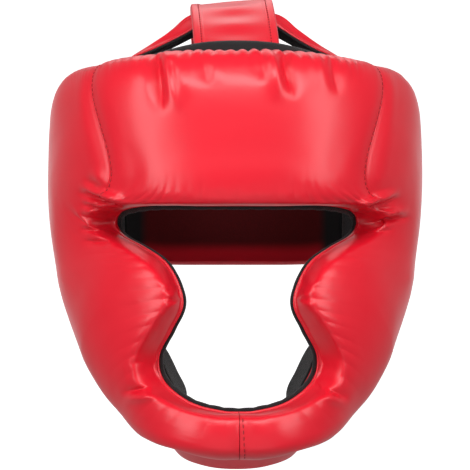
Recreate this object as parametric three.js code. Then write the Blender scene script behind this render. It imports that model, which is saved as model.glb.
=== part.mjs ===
// Full face boxing headgear: padded leather panels round a keyhole face opening, on a thin
// cloth lining, with a rear band, two straps over the crown and a strap under the chin.
// Millimetres. +Z is up and -Y is the front. The origin is the crown of the wearer's head,
// where the underside of the crown strap rests. The wearer's left is +X.
import * as THREE from 'three';

// Driving dimensions
const LINING_THICKNESS = 2;
const GAP = 0.3;
const LINING_AT_OPENING = 2.6;
const LINING_AT_RIM = 1.6;
const LINING_DOME = { height: 4, halfStations: 2.6 };
const PAD_EDGE = 1.2;
const EDGE_ROUND = { opening: 27, rim: 25, share: 0.42 };
const SEAM = { depth: 2.4, width: 4.5 };
const SEAM_BOW = { stations: 1.5, reach: 2.2, onset: 0.07, fromMiddle: 2 };
const REAR_BAND = { top: -60, bottom: -147, endBottom: -138, thickness: 8, edge: 2.5, round: 11 };
const REAR_EDGE = { firstStation: 6, lastStation: 8, steps: 16 };
const CROWN_TAB = { width: 47, thickness: 2.5, roll: 5.3, lean: -2.8 };
const CHIN_STRAP = { width: 27, thickness: 2.6, middleY: -62, flare: 0.22, tilt: 32, tiltReach: 0.19 };

// How finely the forms are cut into facets
const STEPS_PER_STATION = 4;
const EDGE_STEPS = 4;
const MIDDLE_STEPS = 3;
const LINING_STEPS = 5;
const BAND_STEPS = 14;
const STRAP_STEPS = 22;
const STRAP_ACROSS = 4;
const CURVE_SAMPLES = 1024;

// Horizontal sections of the space inside, taken on the outside of the lining. Each is an ellipse.
const HEAD_SECTIONS = [
  { z: -26, halfWidth: 73, centreY: 0, halfDepth: 90 },
  { z: -60, halfWidth: 81, centreY: 0, halfDepth: 98 },
  { z: -100, halfWidth: 83, centreY: -1, halfDepth: 99 },
  { z: -130, halfWidth: 81, centreY: -3, halfDepth: 100 },
  { z: -150, halfWidth: 76, centreY: -11, halfDepth: 95 },
  { z: -165, halfWidth: 70, centreY: -25, halfDepth: 84 },
  { z: -180, halfWidth: 63, centreY: -44, halfDepth: 68 },
  { z: -195, halfWidth: 55.5, centreY: -61, halfDepth: 54 },
  { z: -210, halfWidth: 48, centreY: -75, halfDepth: 41 },
  { z: -225, halfWidth: 40.5, centreY: -87, halfDepth: 29 },
  { z: -238, halfWidth: 33, centreY: -96, halfDepth: 19 },
  { z: -250, halfWidth: 26, centreY: -102, halfDepth: 12 },
];

// Stations round the face opening, from the middle of the brow to the middle of the chin, for the
// +X side. Each gives a point on the opening's edge (distance from the middle, height), the point of
// the outer rim that it is joined to (angle from the front in degrees, height), and the padding that
// the panel has towards each of them.
const STATIONS = [
  { openX: 0, openZ: -113, rimAngle: 0, rimZ: -32, padding: 29, rimPadding: 29 },
  { openX: 22, openZ: -113, rimAngle: 17, rimZ: -32, padding: 29, rimPadding: 29 },
  { openX: 42, openZ: -113, rimAngle: 32, rimZ: -33, padding: 29, rimPadding: 29 },
  { openX: 55, openZ: -114, rimAngle: 45, rimZ: -34, padding: 28, rimPadding: 29 },
  { openX: 62.5, openZ: -116, rimAngle: 57, rimZ: -35.5, padding: 27, rimPadding: 28 },
  { openX: 66, openZ: -120, rimAngle: 92, rimZ: -39.5, padding: 25, rimPadding: 26 },
  { openX: 65.5, openZ: -125, rimAngle: 122, rimZ: -60, padding: 24, rimPadding: 24 },
  { openX: 61, openZ: -130, rimAngle: 125, rimZ: -100, padding: 25, rimPadding: 22 },
  { openX: 50, openZ: -136, rimAngle: 122, rimZ: -139, padding: 27, rimPadding: 21 },
  { openX: 39, openZ: -144, rimAngle: 114, rimZ: -156, padding: 31, rimPadding: 22 },
  { openX: 32, openZ: -156, rimAngle: 110, rimZ: -170, padding: 33, rimPadding: 23 },
  { openX: 30, openZ: -168, rimAngle: 109, rimZ: -183, padding: 33, rimPadding: 25 },
  { openX: 36, openZ: -181, rimAngle: 110, rimZ: -196, padding: 33, rimPadding: 27 },
  { openX: 42.5, openZ: -195, rimAngle: 111, rimZ: -209, padding: 31, rimPadding: 27 },
  { openX: 39.5, openZ: -208, rimAngle: 107, rimZ: -222, padding: 27, rimPadding: 23 },
  { openX: 26, openZ: -218.5, rimAngle: 80, rimZ: -236, padding: 24, rimPadding: 21 },
  { openX: 10, openZ: -222.8, rimAngle: 38, rimZ: -245, padding: 25, rimPadding: 24 },
  { openX: 0, openZ: -223.5, rimAngle: 0, rimZ: -247, padding: 25, rimPadding: 24 },
];
const CHIN = STATIONS.length - 1;
const RING = 2 * CHIN;
const BROW_SEAM = 4;

// Creases in the leather, each running from one place on a panel to another. A place is a station
// number and a share of the way from the opening (0) to the rim (1). Negative stations are on -X.
const CREASES = [
  { station: -1.8, share: 1, toStation: -1.6, toShare: 0.66, depth: 3.5, width: 6 },
  { station: 0.97, share: 1, toStation: 1.02, toShare: 0.74, depth: 3, width: 6 },
  { station: 4.75, share: 0.01, toStation: 4.75, toShare: 0.15, depth: 3, width: 4 },
  { station: 5.5, share: 0.01, toStation: 5.5, toShare: 0.16, depth: 3.5, width: 4 },
  { station: 6.25, share: 0.01, toStation: 6.25, toShare: 0.12, depth: 2.5, width: 4 },
  { station: -4.75, share: 0.01, toStation: -4.75, toShare: 0.17, depth: 3.5, width: 4 },
  { station: -5.5, share: 0.01, toStation: -5.5, toShare: 0.13, depth: 3, width: 4 },
  { station: -6.25, share: 0.01, toStation: -6.25, toShare: 0.1, depth: 2.5, width: 4 },
];

// Centre lines of the straps with the width and thickness along them. The crown strap runs across and
// is bunched up where it comes out from under the crown tab, which runs from front to back.
const CROWN_STRAP_LINE = [
  { x: 0, z: 1.25, width: 22, thickness: 2.5 },
  { x: 12, z: 0, width: 22, thickness: 2.6 },
  { x: 24, z: -5, width: 18, thickness: 9 },
  { x: 34, z: -12, width: 20, thickness: 8 },
  { x: 47, z: -20, width: 25, thickness: 6 },
  { x: 60, z: -27, width: 30, thickness: 3.6 },
  { x: 69, z: -34, width: 30, thickness: 2.5 },
  { x: 73.5, z: -46, width: 30, thickness: 2.5 },
  { x: 76, z: -60, width: 30, thickness: 2.5 },
];
const CROWN_TAB_LINE = [
  { y: -91.8, z: -50 },
  { y: -88.6, z: -38 },
  { y: -82, z: -27 },
  { y: -50, z: -8 },
  { y: -22, z: 3.2 },
  { y: 0, z: 4.1 },
  { y: 22, z: 2.4 },
  { y: 54, z: -12 },
  { y: 82, z: -36 },
  { y: 92, z: -52 },
  { y: 94.3, z: -63 },
  { y: 95, z: -76 },
];
const CHIN_STRAP_LINE = [
  { x: 56.6, z: -166 },
  { x: 54.2, z: -176 },
  { x: 42.6, z: -194 },
  { x: 36.8, z: -206 },
  { x: 32, z: -217 },
  { x: 34.4, z: -230 },
  { x: 38, z: -240.5 },
  { x: 32, z: -248 },
  { x: 18, z: -251 },
  { x: 0, z: -251.5 },
];

const leather = () => new THREE.MeshStandardMaterial({ color: 0xd81e2c, roughness: 0.38 });
const cloth = () => new THREE.MeshStandardMaterial({ color: 0x141414, roughness: 0.9 });

// A smooth function through one column of a table, by cubic pieces whose slopes come from the
// neighbouring rows. Past the ends it goes on in a straight line.
function smoothColumn(table, key, column) {
  const rows = [...table].sort((a, b) => a[key] - b[key]);
  const at = rows.map((row) => row[key]);
  const value = rows.map((row) => row[column]);
  const last = rows.length - 1;
  const slope = rows.map((_, i) => {
    const before = Math.max(i - 1, 0);
    const after = Math.min(i + 1, last);
    return (value[after] - value[before]) / (at[after] - at[before]);
  });
  return (x) => {
    if (x <= at[0]) return value[0] + slope[0] * (x - at[0]);
    if (x >= at[last]) return value[last] + slope[last] * (x - at[last]);
    const i = at.findIndex((left, k) => x >= left && x < at[k + 1]);
    const span = at[i + 1] - at[i];
    const t = (x - at[i]) / span;
    const rise = t * t * (3 - 2 * t);
    const lean = slope[i] * t * (1 - t) * (1 - t) - slope[i + 1] * t * t * (1 - t);
    return value[i] * (1 - rise) + value[i + 1] * rise + span * lean;
  };
}

// A bump that is 1 at no distance and fades to 0
const bell = (distance, width) => Math.exp(-((distance / width) ** 2));

// The head form: the surface that the lining lies on
const sectionHalfWidth = smoothColumn(HEAD_SECTIONS, 'z', 'halfWidth');
const sectionCentreY = smoothColumn(HEAD_SECTIONS, 'z', 'centreY');
const sectionHalfDepth = smoothColumn(HEAD_SECTIONS, 'z', 'halfDepth');

function formPoint(angle, z) {
  const x = sectionHalfWidth(z) * Math.sin(angle);
  const y = sectionCentreY(z) - sectionHalfDepth(z) * Math.cos(angle);
  return new THREE.Vector3(x, y, z);
}

function formNormal(angle, z) {
  const turn = 0.01;
  const rise = 0.5;
  const along = formPoint(angle + turn, z).sub(formPoint(angle - turn, z));
  const up = formPoint(angle, z + rise).sub(formPoint(angle, z - rise));
  return along.cross(up).normalize();
}

// The point of the form that a point inside or outside it is pushed to, at the same height
function formAngle(point) {
  const across = point.x / sectionHalfWidth(point.z);
  const ahead = (sectionCentreY(point.z) - point.y) / sectionHalfDepth(point.z);
  return Math.atan2(across, ahead);
}

function onForm(point, offset) {
  const angle = formAngle(point);
  return formPoint(angle, point.z).addScaledVector(formNormal(angle, point.z), offset);
}

// Stations as closed curves round the opening: the -X side mirrors the +X side
const ring = [
  ...STATIONS,
  ...STATIONS.slice(1, -1)
    .reverse()
    .map((row) => ({ ...row, openX: -row.openX, rimAngle: -row.rimAngle })),
];
const closedCurve = (points) => new THREE.CatmullRomCurve3(points, true, 'catmullrom', 0.5);
const openingTrack = closedCurve(ring.map((row) => new THREE.Vector3(row.openX, row.openZ, 0)));
const paddingTrack = closedCurve(ring.map((row) => new THREE.Vector3(row.padding, row.rimPadding, 0)));
const rimTrack = closedCurve(
  ring.map((row) => formPoint(THREE.MathUtils.degToRad(row.rimAngle), row.rimZ)),
);
const ringShare = (station) => THREE.MathUtils.euclideanModulo(station, RING) / RING;

function openingPoint(station) {
  const { x, y: z } = openingTrack.getPoint(ringShare(station));
  return formPoint(Math.asin(THREE.MathUtils.clamp(x / sectionHalfWidth(z), -1, 1)), z);
}

function rimPoint(station) {
  return onForm(rimTrack.getPoint(ringShare(station)), 0);
}

// The chord from the opening to the rim at a station. Near the brow seams the chords bow towards the
// middle, as the seams do: at once past the opening's edge, and less and less towards the rim.
function chordPoint(station, share) {
  const fromBrow = station > CHIN ? station - RING : station;
  const away = Math.abs(fromBrow);
  const nearSeam =
    bell(away - BROW_SEAM, SEAM_BOW.reach) * THREE.MathUtils.smoothstep(away, 0, SEAM_BOW.fromMiddle);
  const within = THREE.MathUtils.clamp(share, 0, 1);
  const bow = (1 - within * within) * (1 - Math.exp(-within / SEAM_BOW.onset));
  const bowed = station - Math.sign(fromBrow) * SEAM_BOW.stations * nearSeam * bow;
  return openingPoint(bowed).lerp(rimPoint(bowed), share);
}

// A point of the lining's outer face: the chord pushed out to the form
const liningPoint = (station, share) => onForm(chordPoint(station, share), 0);

const openingSamples = sampleRing(openingPoint);
const rimSamples = sampleRing(rimPoint);
const seamSamples = [BROW_SEAM, CHIN, -BROW_SEAM].map((station) =>
  sampleLine((share) => liningPoint(station, share)),
);
const creaseLines = CREASES.map((crease) => ({
  ...crease,
  line: sampleLine((along) =>
    liningPoint(
      THREE.MathUtils.lerp(crease.station, crease.toStation, along),
      THREE.MathUtils.lerp(crease.share, crease.toShare, along),
    ),
  ),
}));

function sampleRing(pointAt) {
  return Array.from({ length: CURVE_SAMPLES }, (_, i) => pointAt((RING * i) / CURVE_SAMPLES));
}

function sampleLine(pointAt) {
  const steps = 24;
  return Array.from({ length: steps + 1 }, (_, i) => pointAt(i / steps));
}

function distanceTo(samples, point) {
  return Math.min(...samples.map((sample) => sample.distanceTo(point)));
}

// A quarter circle: 0 at the edge of a pad, 1 once the edge's rounding is passed
function roundedEdge(distance, radius) {
  const left = 1 - Math.min(distance / radius, 1);
  return Math.sqrt(1 - left * left);
}

// How far the leather stands off the lining: the padding, rounded down to both edges of the panel,
// less the seams and creases. A narrow panel's edges are rounded less.
function padHeight(station, share, point) {
  const { x: atOpening, y: atRim } = paddingTrack.getPoint(ringShare(station));
  const fromOpening = distanceTo(openingSamples, point);
  const fromRim = distanceTo(rimSamples, point);
  const widest = EDGE_ROUND.share * (fromOpening + fromRim);
  const rounding =
    roundedEdge(fromOpening, Math.min(EDGE_ROUND.opening, widest)) *
    roundedEdge(fromRim, Math.min(EDGE_ROUND.rim, widest));
  const seamPulls = seamSamples.map((seam) => bell(distanceTo(seam, point), SEAM.width));
  const seamCut = SEAM.depth * Math.max(...seamPulls);
  const creaseCut = creaseLines.reduce(
    (sum, crease) => sum + crease.depth * bell(distanceTo(crease.line, point), crease.width),
    0,
  );
  const padding = THREE.MathUtils.lerp(atOpening, atRim, share);
  return PAD_EDGE + Math.max(padding - seamCut - creaseCut, 0) * rounding;
}

// A closed solid through sections that are loops of points. The ends of an open loft are cut into the
// triangles given, or like the rungs of a ladder. Each four-sided facet is cut along its shorter
// diagonal, apart from the first few of a loop, which two pieces that touch have in common.
function loft(sections, { closed = false, end = null, shared = 0 } = {}) {
  const count = sections[0].length;
  const points = sections.flat();
  const faces = [];
  const spans = closed ? sections.length : sections.length - 1;
  for (let i = 0; i < spans; i += 1) {
    const here = i * count;
    const next = ((i + 1) % sections.length) * count;
    for (let k = 0; k < count; k += 1) {
      const m = (k + 1) % count;
      const rising = points[here + k].distanceTo(points[next + m]);
      const falling = points[next + k].distanceTo(points[here + m]);
      if (k < shared || rising <= falling) {
        faces.push([here + k, next + k, next + m], [here + k, next + m, here + m]);
      } else {
        faces.push([here + k, next + k, here + m], [next + k, next + m, here + m]);
      }
    }
  }
  if (!closed) {
    const far = (sections.length - 1) * count;
    for (const [a, b, c] of end ?? ladder(count)) {
      faces.push([a, b, c], [far + c, far + b, far + a]);
    }
  }
  const geometry = new THREE.BufferGeometry().setFromPoints(points);
  geometry.setIndex(facingOut(points, faces).flat());
  geometry.computeVertexNormals();
  return geometry;
}

// Triangles between the two halves of a loop, which face each other point by point
function ladder(count) {
  const rung = (k) => [k, k + 1, count - 2 - k, count - 1 - k];
  const rungs = Array.from({ length: count / 2 - 1 }, (_, k) => rung(k));
  return rungs.flatMap(([a, b, c, d]) => [[a, b, c], [a, c, d]]);
}

// Turns every face round if the solid that they enclose has a negative volume
function facingOut(points, faces) {
  const cross = new THREE.Vector3();
  const spanned = ([a, b, c]) => points[a].dot(cross.crossVectors(points[b], points[c]));
  const volume = faces.reduce((sum, face) => sum + spanned(face), 0);
  return volume > 0 ? faces : faces.map(([a, b, c]) => [a, c, b]);
}

function piece(name, geometry, material) {
  const mesh = new THREE.Mesh(geometry, material);
  mesh.name = name;
  return mesh;
}

// Shares of the way across a band, closer together towards both edges
const towardsEdges = (steps) =>
  Array.from({ length: steps + 1 }, (_, i) => (1 - Math.cos((Math.PI * i) / steps)) / 2);
const liningShares = towardsEdges(LINING_STEPS);

// Shares of the way across a pad, set by equal turns round its two rounded edges and by equal steps
// over the flatter middle
function padShares(station) {
  const length = openingPoint(station).distanceTo(rimPoint(station));
  const turn = (i) => 1 - Math.cos((Math.PI * i) / (2 * EDGE_STEPS));
  const reach = (radius) => Math.min(radius / length, EDGE_ROUND.share);
  const near = reach(EDGE_ROUND.opening);
  const far = 1 - reach(EDGE_ROUND.rim);
  const steps = Array.from({ length: EDGE_STEPS }, (_, i) => i);
  const between = (i) => near + ((far - near) * i) / MIDDLE_STEPS;
  const middle = Array.from({ length: MIDDLE_STEPS + 1 }, (_, i) => between(i));
  return [
    ...steps.map((i) => near * turn(i)),
    ...middle,
    ...steps.map((i) => 1 - (1 - far) * turn(i)).reverse(),
  ];
}

// One section of a pad: along the lining from the opening to the rim, then back over the leather. At
// a seam the section is moved aside by the gap that the stitching pulls in.
function padSection(station, shift) {
  const place = (share, heightOf) => {
    const chord = chordPoint(station, share);
    const aside = liningPoint(station + 0.02, share).sub(liningPoint(station - 0.02, share)).normalize();
    return onForm(chord, GAP + heightOf(onForm(chord, 0))).addScaledVector(aside, shift);
  };
  const base = liningShares.map((share) => place(share, () => 0));
  const heightAt = (share) => (point) => padHeight(station, share, point);
  const top = padShares(station).map((share) => place(share, heightAt(share)));
  return [...base, ...top.reverse()];
}

// The end of a pad as a strip of triangles from the opening to the rim, between the lining's side and
// the leather's. Two pads face each other at a seam triangle by triangle.
function seamEnd() {
  const base = liningShares;
  const top = padShares(BROW_SEAM);
  const topIndex = (k) => base.length + top.length - 1 - k;
  const triangles = [];
  let i = 0;
  let k = 0;
  while (i + 1 < base.length || k + 1 < top.length) {
    if (k + 1 === top.length || base[i + 1] <= top[k + 1]) {
      triangles.push([i, i + 1, topIndex(k)]);
      i += 1;
    } else {
      triangles.push([i, topIndex(k + 1), topIndex(k)]);
      k += 1;
    }
  }
  return triangles;
}

function pad(name, firstStation, lastStation) {
  const steps = STEPS_PER_STATION * (lastStation - firstStation);
  const sections = Array.from({ length: steps + 1 }, (_, i) => {
    const station = firstStation + i / STEPS_PER_STATION;
    const shift = i === 0 ? GAP / 2 : i === steps ? -GAP / 2 : 0;
    return padSection(station, shift);
  });
  return piece(name, loft(sections, { end: seamEnd(), shared: LINING_STEPS }), leather());
}

// The lining shows a little inside the opening's edge, and rises in a low dome behind the brow
function lining() {
  const steps = STEPS_PER_STATION * RING;
  const sections = Array.from({ length: steps }, (_, i) => {
    const station = i / STEPS_PER_STATION;
    const fromBrow = Math.min(station, RING - station);
    const dome = LINING_DOME.height * bell(fromBrow, LINING_DOME.halfStations);
    const length = openingPoint(station).distanceTo(rimPoint(station));
    const shares = [-LINING_AT_OPENING / length, ...liningShares, 1 + (LINING_AT_RIM + dome) / length];
    const face = (offset) => shares.map((share) => onForm(chordPoint(station, share), offset));
    return [...face(0), ...face(-LINING_THICKNESS).reverse()];
  });
  return piece('lining', loft(sections, { closed: true, shared: LINING_STEPS + 2 }), cloth());
}

// The rear band closes the back between the two side pads. Its ends follow the rear edge of the lining.
function rearBand() {
  const edge = Array.from({ length: REAR_EDGE.steps + 1 }, (_, i) => {
    const share = i / REAR_EDGE.steps;
    const point = rimPoint(THREE.MathUtils.lerp(REAR_EDGE.firstStation, REAR_EDGE.lastStation, share));
    const pastLining = (LINING_AT_RIM + 2 * GAP) / sectionHalfWidth(point.z);
    return { z: point.z, angle: formAngle(point) + pastLining };
  });
  const edgeAngle = smoothColumn(edge, 'z', 'angle');
  const shares = towardsEdges(12);
  const place = (along, share, offset) => {
    const fromMiddle = Math.abs(2 * along - 1);
    const bottom = THREE.MathUtils.lerp(REAR_BAND.bottom, REAR_BAND.endBottom, fromMiddle ** 6);
    const z = THREE.MathUtils.lerp(bottom, REAR_BAND.top, share);
    const angle = THREE.MathUtils.lerp(edgeAngle(z), 2 * Math.PI - edgeAngle(z), along);
    return formPoint(angle, z).addScaledVector(formNormal(angle, z), offset - LINING_THICKNESS);
  };
  const outside = (share) => {
    const fromEdge = Math.min(share, 1 - share) * (REAR_BAND.top - REAR_BAND.bottom);
    const filled = roundedEdge(fromEdge, REAR_BAND.round);
    return THREE.MathUtils.lerp(REAR_BAND.edge, REAR_BAND.thickness, filled);
  };
  const sections = Array.from({ length: BAND_STEPS + 1 }, (_, i) => [
    ...shares.map((share) => place(i / BAND_STEPS, share, 0)),
    ...shares.map((share) => place(i / BAND_STEPS, share, outside(share))).reverse(),
  ]);
  return piece('rear_band', loft(sections), leather());
}

// A strap: sizeAt(along) gives its width and thickness at a share along it, and place(along, across,
// lift) the point at a distance across it and a height above its middle
function strap(name, sizeAt, place) {
  const shares = Array.from({ length: STRAP_ACROSS + 1 }, (_, k) => k / STRAP_ACROSS - 0.5);
  const under = shares.map((share) => [share, -0.5]);
  const over = shares.map((share) => [share, 0.5]);
  const loop = [...under, ...over.reverse()];
  const sections = Array.from({ length: STRAP_STEPS + 1 }, (_, i) => {
    const { width, thickness } = sizeAt(i / STRAP_STEPS);
    return loop.map(([share, side]) => place(i / STRAP_STEPS, width * share, thickness * side));
  });
  return piece(name, loft(sections), leather());
}

const mirrored = (line) => [
  ...line.slice(1).reverse().map((row) => ({ ...row, x: -row.x })),
  ...line,
];
const openCurve = (points) => new THREE.CatmullRomCurve3(points, false, 'catmullrom', 0.5);

// How far the head form reaches to the side, or to the front and back from its centre, at a height
const ellipseReach = (distance, across, reach) =>
  reach * Math.sqrt(Math.max(1 - (distance / across) ** 2, 0));
const sideReach = (y, z) =>
  ellipseReach(y - sectionCentreY(z), sectionHalfDepth(z), sectionHalfWidth(z));
const endReach = (x, z) => ellipseReach(x, sectionHalfWidth(z), sectionHalfDepth(z));

// How much a strap bends to the head form: fully at its sewn ends, not at all past endShare
const bendAt = (along, endShare) =>
  1 - THREE.MathUtils.smoothstep(Math.min(along, 1 - along), 0, endShare);

function crownStrap() {
  const line = mirrored(CROWN_STRAP_LINE);
  const curve = openCurve(line.map(({ x, z }) => new THREE.Vector3(x, 0, z)));
  const widthAt = smoothColumn(line, 'x', 'width');
  const thicknessAt = smoothColumn(line, 'x', 'thickness');
  const sizeAt = (along) => {
    const { x } = curve.getPointAt(along);
    return { width: widthAt(x), thickness: thicknessAt(x) };
  };
  return strap('crown_strap', sizeAt, (along, across, lift) => {
    const middle = curve.getPointAt(along);
    const tangent = curve.getTangentAt(along);
    const bend = bendAt(along, 0.3) * (sideReach(across, middle.z) - sideReach(0, middle.z));
    return new THREE.Vector3(
      middle.x - tangent.z * lift + Math.sign(middle.x) * bend,
      across,
      middle.z + tangent.x * lift,
    );
  });
}

function crownTab() {
  const curve = openCurve(CROWN_TAB_LINE.map(({ y, z }) => new THREE.Vector3(0, y, z)));
  const roll = Math.tan(THREE.MathUtils.degToRad(CROWN_TAB.roll));
  return strap('crown_tab', () => CROWN_TAB, (along, across, lift) => {
    const middle = curve.getPointAt(along);
    const tangent = curve.getTangentAt(along);
    const bend = bendAt(along, 0.3) * (endReach(across, middle.z) - endReach(0, middle.z));
    const free = 1 - bendAt(along, 0.45);
    return new THREE.Vector3(
      across + free * CROWN_TAB.lean,
      middle.y - tangent.z * lift + Math.sign(middle.y) * bend,
      middle.z + tangent.y * lift + free * roll * across,
    );
  });
}

function chinStrap() {
  const line = mirrored([...CHIN_STRAP_LINE].reverse());
  const curve = openCurve(line.map(({ x, z }) => new THREE.Vector3(x, CHIN_STRAP.middleY, z)));
  const slope = Math.tan(THREE.MathUtils.degToRad(CHIN_STRAP.tilt));
  return strap('chin_strap', () => CHIN_STRAP, (along, across, lift) => {
    const middle = curve.getPointAt(along);
    const tangent = curve.getTangentAt(along);
    const y = middle.y + across;
    const bend = bendAt(along, 0.16) * (sideReach(y, middle.z) - sideReach(middle.y, middle.z));
    const flare = CHIN_STRAP.flare * across * Math.sin(2 * Math.PI * along);
    const tilt = slope * across * bell(along - 0.5, CHIN_STRAP.tiltReach);
    return new THREE.Vector3(
      middle.x - tangent.z * lift + Math.sign(middle.x) * bend + flare,
      y,
      middle.z + tangent.x * lift - tilt,
    );
  });
}

const headgear = new THREE.Group();
headgear.add(
  pad('brow_pad', -BROW_SEAM, BROW_SEAM),
  pad('side_pad_left', BROW_SEAM, CHIN),
  pad('side_pad_right', CHIN, RING - BROW_SEAM),
  lining(),
  rearBand(),
  crownStrap(),
  crownTab(),
  chinStrap(),
);

export default headgear;
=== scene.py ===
"""Full face boxing headgear: padded leather, lining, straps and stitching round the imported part.

Lengths are metres in the part's own frame: +Z is up, -Y is the front and +X is the wearer's left.
The object's tables are in millimetres and degrees, and columns() turns them into metres and radians.
"""

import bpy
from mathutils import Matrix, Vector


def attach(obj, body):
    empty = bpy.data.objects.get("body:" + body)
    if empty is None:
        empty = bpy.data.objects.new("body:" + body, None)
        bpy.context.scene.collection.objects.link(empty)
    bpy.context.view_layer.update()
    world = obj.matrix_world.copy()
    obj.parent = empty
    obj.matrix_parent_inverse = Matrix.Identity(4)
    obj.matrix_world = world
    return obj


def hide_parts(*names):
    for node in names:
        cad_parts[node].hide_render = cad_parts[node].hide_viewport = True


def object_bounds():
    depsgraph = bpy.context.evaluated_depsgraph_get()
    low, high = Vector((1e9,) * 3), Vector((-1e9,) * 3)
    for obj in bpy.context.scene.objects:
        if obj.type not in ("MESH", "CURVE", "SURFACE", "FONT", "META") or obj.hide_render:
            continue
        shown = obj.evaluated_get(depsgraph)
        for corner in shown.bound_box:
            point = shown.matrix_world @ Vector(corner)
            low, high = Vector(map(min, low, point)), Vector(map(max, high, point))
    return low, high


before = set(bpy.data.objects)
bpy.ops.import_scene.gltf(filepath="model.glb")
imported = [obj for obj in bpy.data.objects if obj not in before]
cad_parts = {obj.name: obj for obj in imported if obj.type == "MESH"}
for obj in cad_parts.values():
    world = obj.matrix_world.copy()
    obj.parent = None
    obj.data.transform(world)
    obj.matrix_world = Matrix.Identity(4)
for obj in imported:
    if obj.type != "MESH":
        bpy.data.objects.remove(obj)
CAD_BOX = [list(corner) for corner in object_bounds()]

import math

import bpy
import numpy as np
from bpy.props import FloatProperty, FloatVectorProperty, PointerProperty
from bpy.types import Operator, Panel, PropertyGroup
from mathutils import Vector

bl_info = {
    "name": "Full Face Boxing Headgear",
    "version": (1, 0, 0),
    "blender": (4, 5, 0),
    "location": "View3D > Sidebar > Headgear",
    "description": "Makes padded leather headgear with its lining, straps, stitching and studio",
    "category": "Add Mesh",
}

MM = 0.001
DEGREE = math.radians(1)
BODY = "root"
LEATHER_SLOT = "red_leather"
LINING_SLOT = "black_lining"


def columns(names, rows, unit=MM):
    """A table as one array for each named column, times the column's unit."""
    return dict(zip(names.split(), (np.array(rows, float) * unit).T))


# The space inside, in ellipses taken on the outside of the lining
HEAD = columns("z half_width centre_y half_depth", (
    (-26, 73, 0, 90),
    (-60, 81, 0, 98),
    (-100, 83, -1, 99),
    (-130, 81, -3, 100),
    (-150, 76, -11, 95),
    (-165, 70, -25, 84),
    (-180, 63, -44, 68),
    (-195, 55.5, -61, 54),
    (-210, 48, -75, 41),
    (-225, 40.5, -87, 29),
    (-238, 33, -96, 19),
    (-250, 26, -102, 12),
))

# Stations round the face opening, from the middle of the brow to the middle of the chin: a point of
# the opening's edge, the point of the rim that it is joined to, and the padding towards each
STATIONS = columns("open_x open_z rim_angle rim_z padding rim_padding", (
    (0, -113, 0, -32, 29, 29),
    (22, -113, 17, -32, 29, 29),
    (42, -113, 32, -33, 29, 29),
    (55, -114, 45, -34, 28, 29),
    (62.5, -116, 57, -35.5, 27, 28),
    (66, -120, 92, -39.5, 25, 26),
    (65.5, -125, 122, -60, 24, 24),
    (61, -130, 125, -100, 25, 22),
    (50, -136, 122, -139, 27, 21),
    (39, -144, 114, -156, 31, 22),
    (32, -156, 110, -170, 33, 23),
    (30, -168, 109, -183, 33, 25),
    (36, -181, 110, -196, 33, 27),
    (42.5, -195, 111, -209, 31, 27),
    (39.5, -208, 107, -222, 27, 23),
    (26, -218.5, 80, -236, 24, 21),
    (10, -222.8, 38, -245, 25, 24),
    (0, -223.5, 0, -247, 25, 24),
), unit=(MM, MM, DEGREE, MM, MM, MM))

# Places on the ring of stations, which goes on from the chin up the -X side: the seams, the panels
# between them, the tip of the cheek, and the bow of the chords towards the middle at the brow seams
CHIN = len(STATIONS["open_x"]) - 1
RING = 2 * CHIN
BROW_SEAM = 4
PADS = {
    "brow_pad": (-BROW_SEAM, BROW_SEAM),
    "side_pad_left": (BROW_SEAM, CHIN),
    "side_pad_right": (CHIN, RING - BROW_SEAM),
}
CHEEK_TIP = 10.8
CHEEK_BLEND = 1.5
SEAM_BOW = 1.5
SEAM_BOW_REACH = 2.2
SEAM_BOW_ONSET = 0.07
SEAM_BOW_FROM = 2

# Folds of the leather, seen from the front: where each starts and ends, its depth and width, and the
# share of the depth that stands up beside it. A minus sign puts that ridge on the other side.
FOLDS = columns("x z to_x to_z depth width ridge", (
    (-45.4, -31, -41, -66, 3.6, 3.2, 0.6),
    (-36, -36, -32, -60, 1.3, 2.2, 0.5),
    (-20, -33, -17, -52, 0.9, 2.4, 0.5),
    (23.4, -31, 29.5, -58, 3.2, 3, -0.6),
    (11, -33, 13, -50, 1, 2.6, 0.5),
    (50, -34, 53, -56, 1.2, 2.8, -0.5),
    (-63, -115.5, -88, -105.5, 4.4, 1.5, -0.75),
    (-72, -108, -84, -98, 1.6, 2.2, -0.6),
    (-70, -117.5, -87, -112, 2.6, 1.2, -0.8),
    (-64, -122, -88, -118.5, 3.2, 1.2, -0.8),
    (-67, -128, -87, -126.5, 2.4, 1.2, -0.8),
    (-70, -133, -86, -133, 1.8, 1.4, -0.7),
    (64, -117.5, 91, -108.5, 4.4, 1.4, 0.7),
    (76, -115.5, 87, -113.5, 1.6, 1.2, 0.6),
    (65, -123, 98, -119.5, 4.4, 1.4, 0.6),
    (70, -128.5, 88, -127, 1.6, 1.6, 0.6),
    (-30, -156.6, -40, -158.5, 2.2, 1.1, -0.6),
    (-29.5, -163, -39, -165, 2, 1.1, -0.6),
    (-32, -151, -41, -146, 2, 1.2, -0.6),
    (30, -154, 43, -149.5, 2.4, 1.4, -0.7),
    (29.5, -163, 38, -163.5, 1.4, 1.2, 0.6),
    (-43, -196, -58, -197.5, 2.2, 1.5, 0.6),
    (-42, -208, -63, -214, 2.8, 1.6, 0.7),
    (41, -206.5, 59, -217, 2.6, 1.6, -0.7),
    (43, -195, 54, -195.5, 1.4, 1.4, -0.6),
), unit=(MM, MM, MM, MM, MM, MM, 1))

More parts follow.
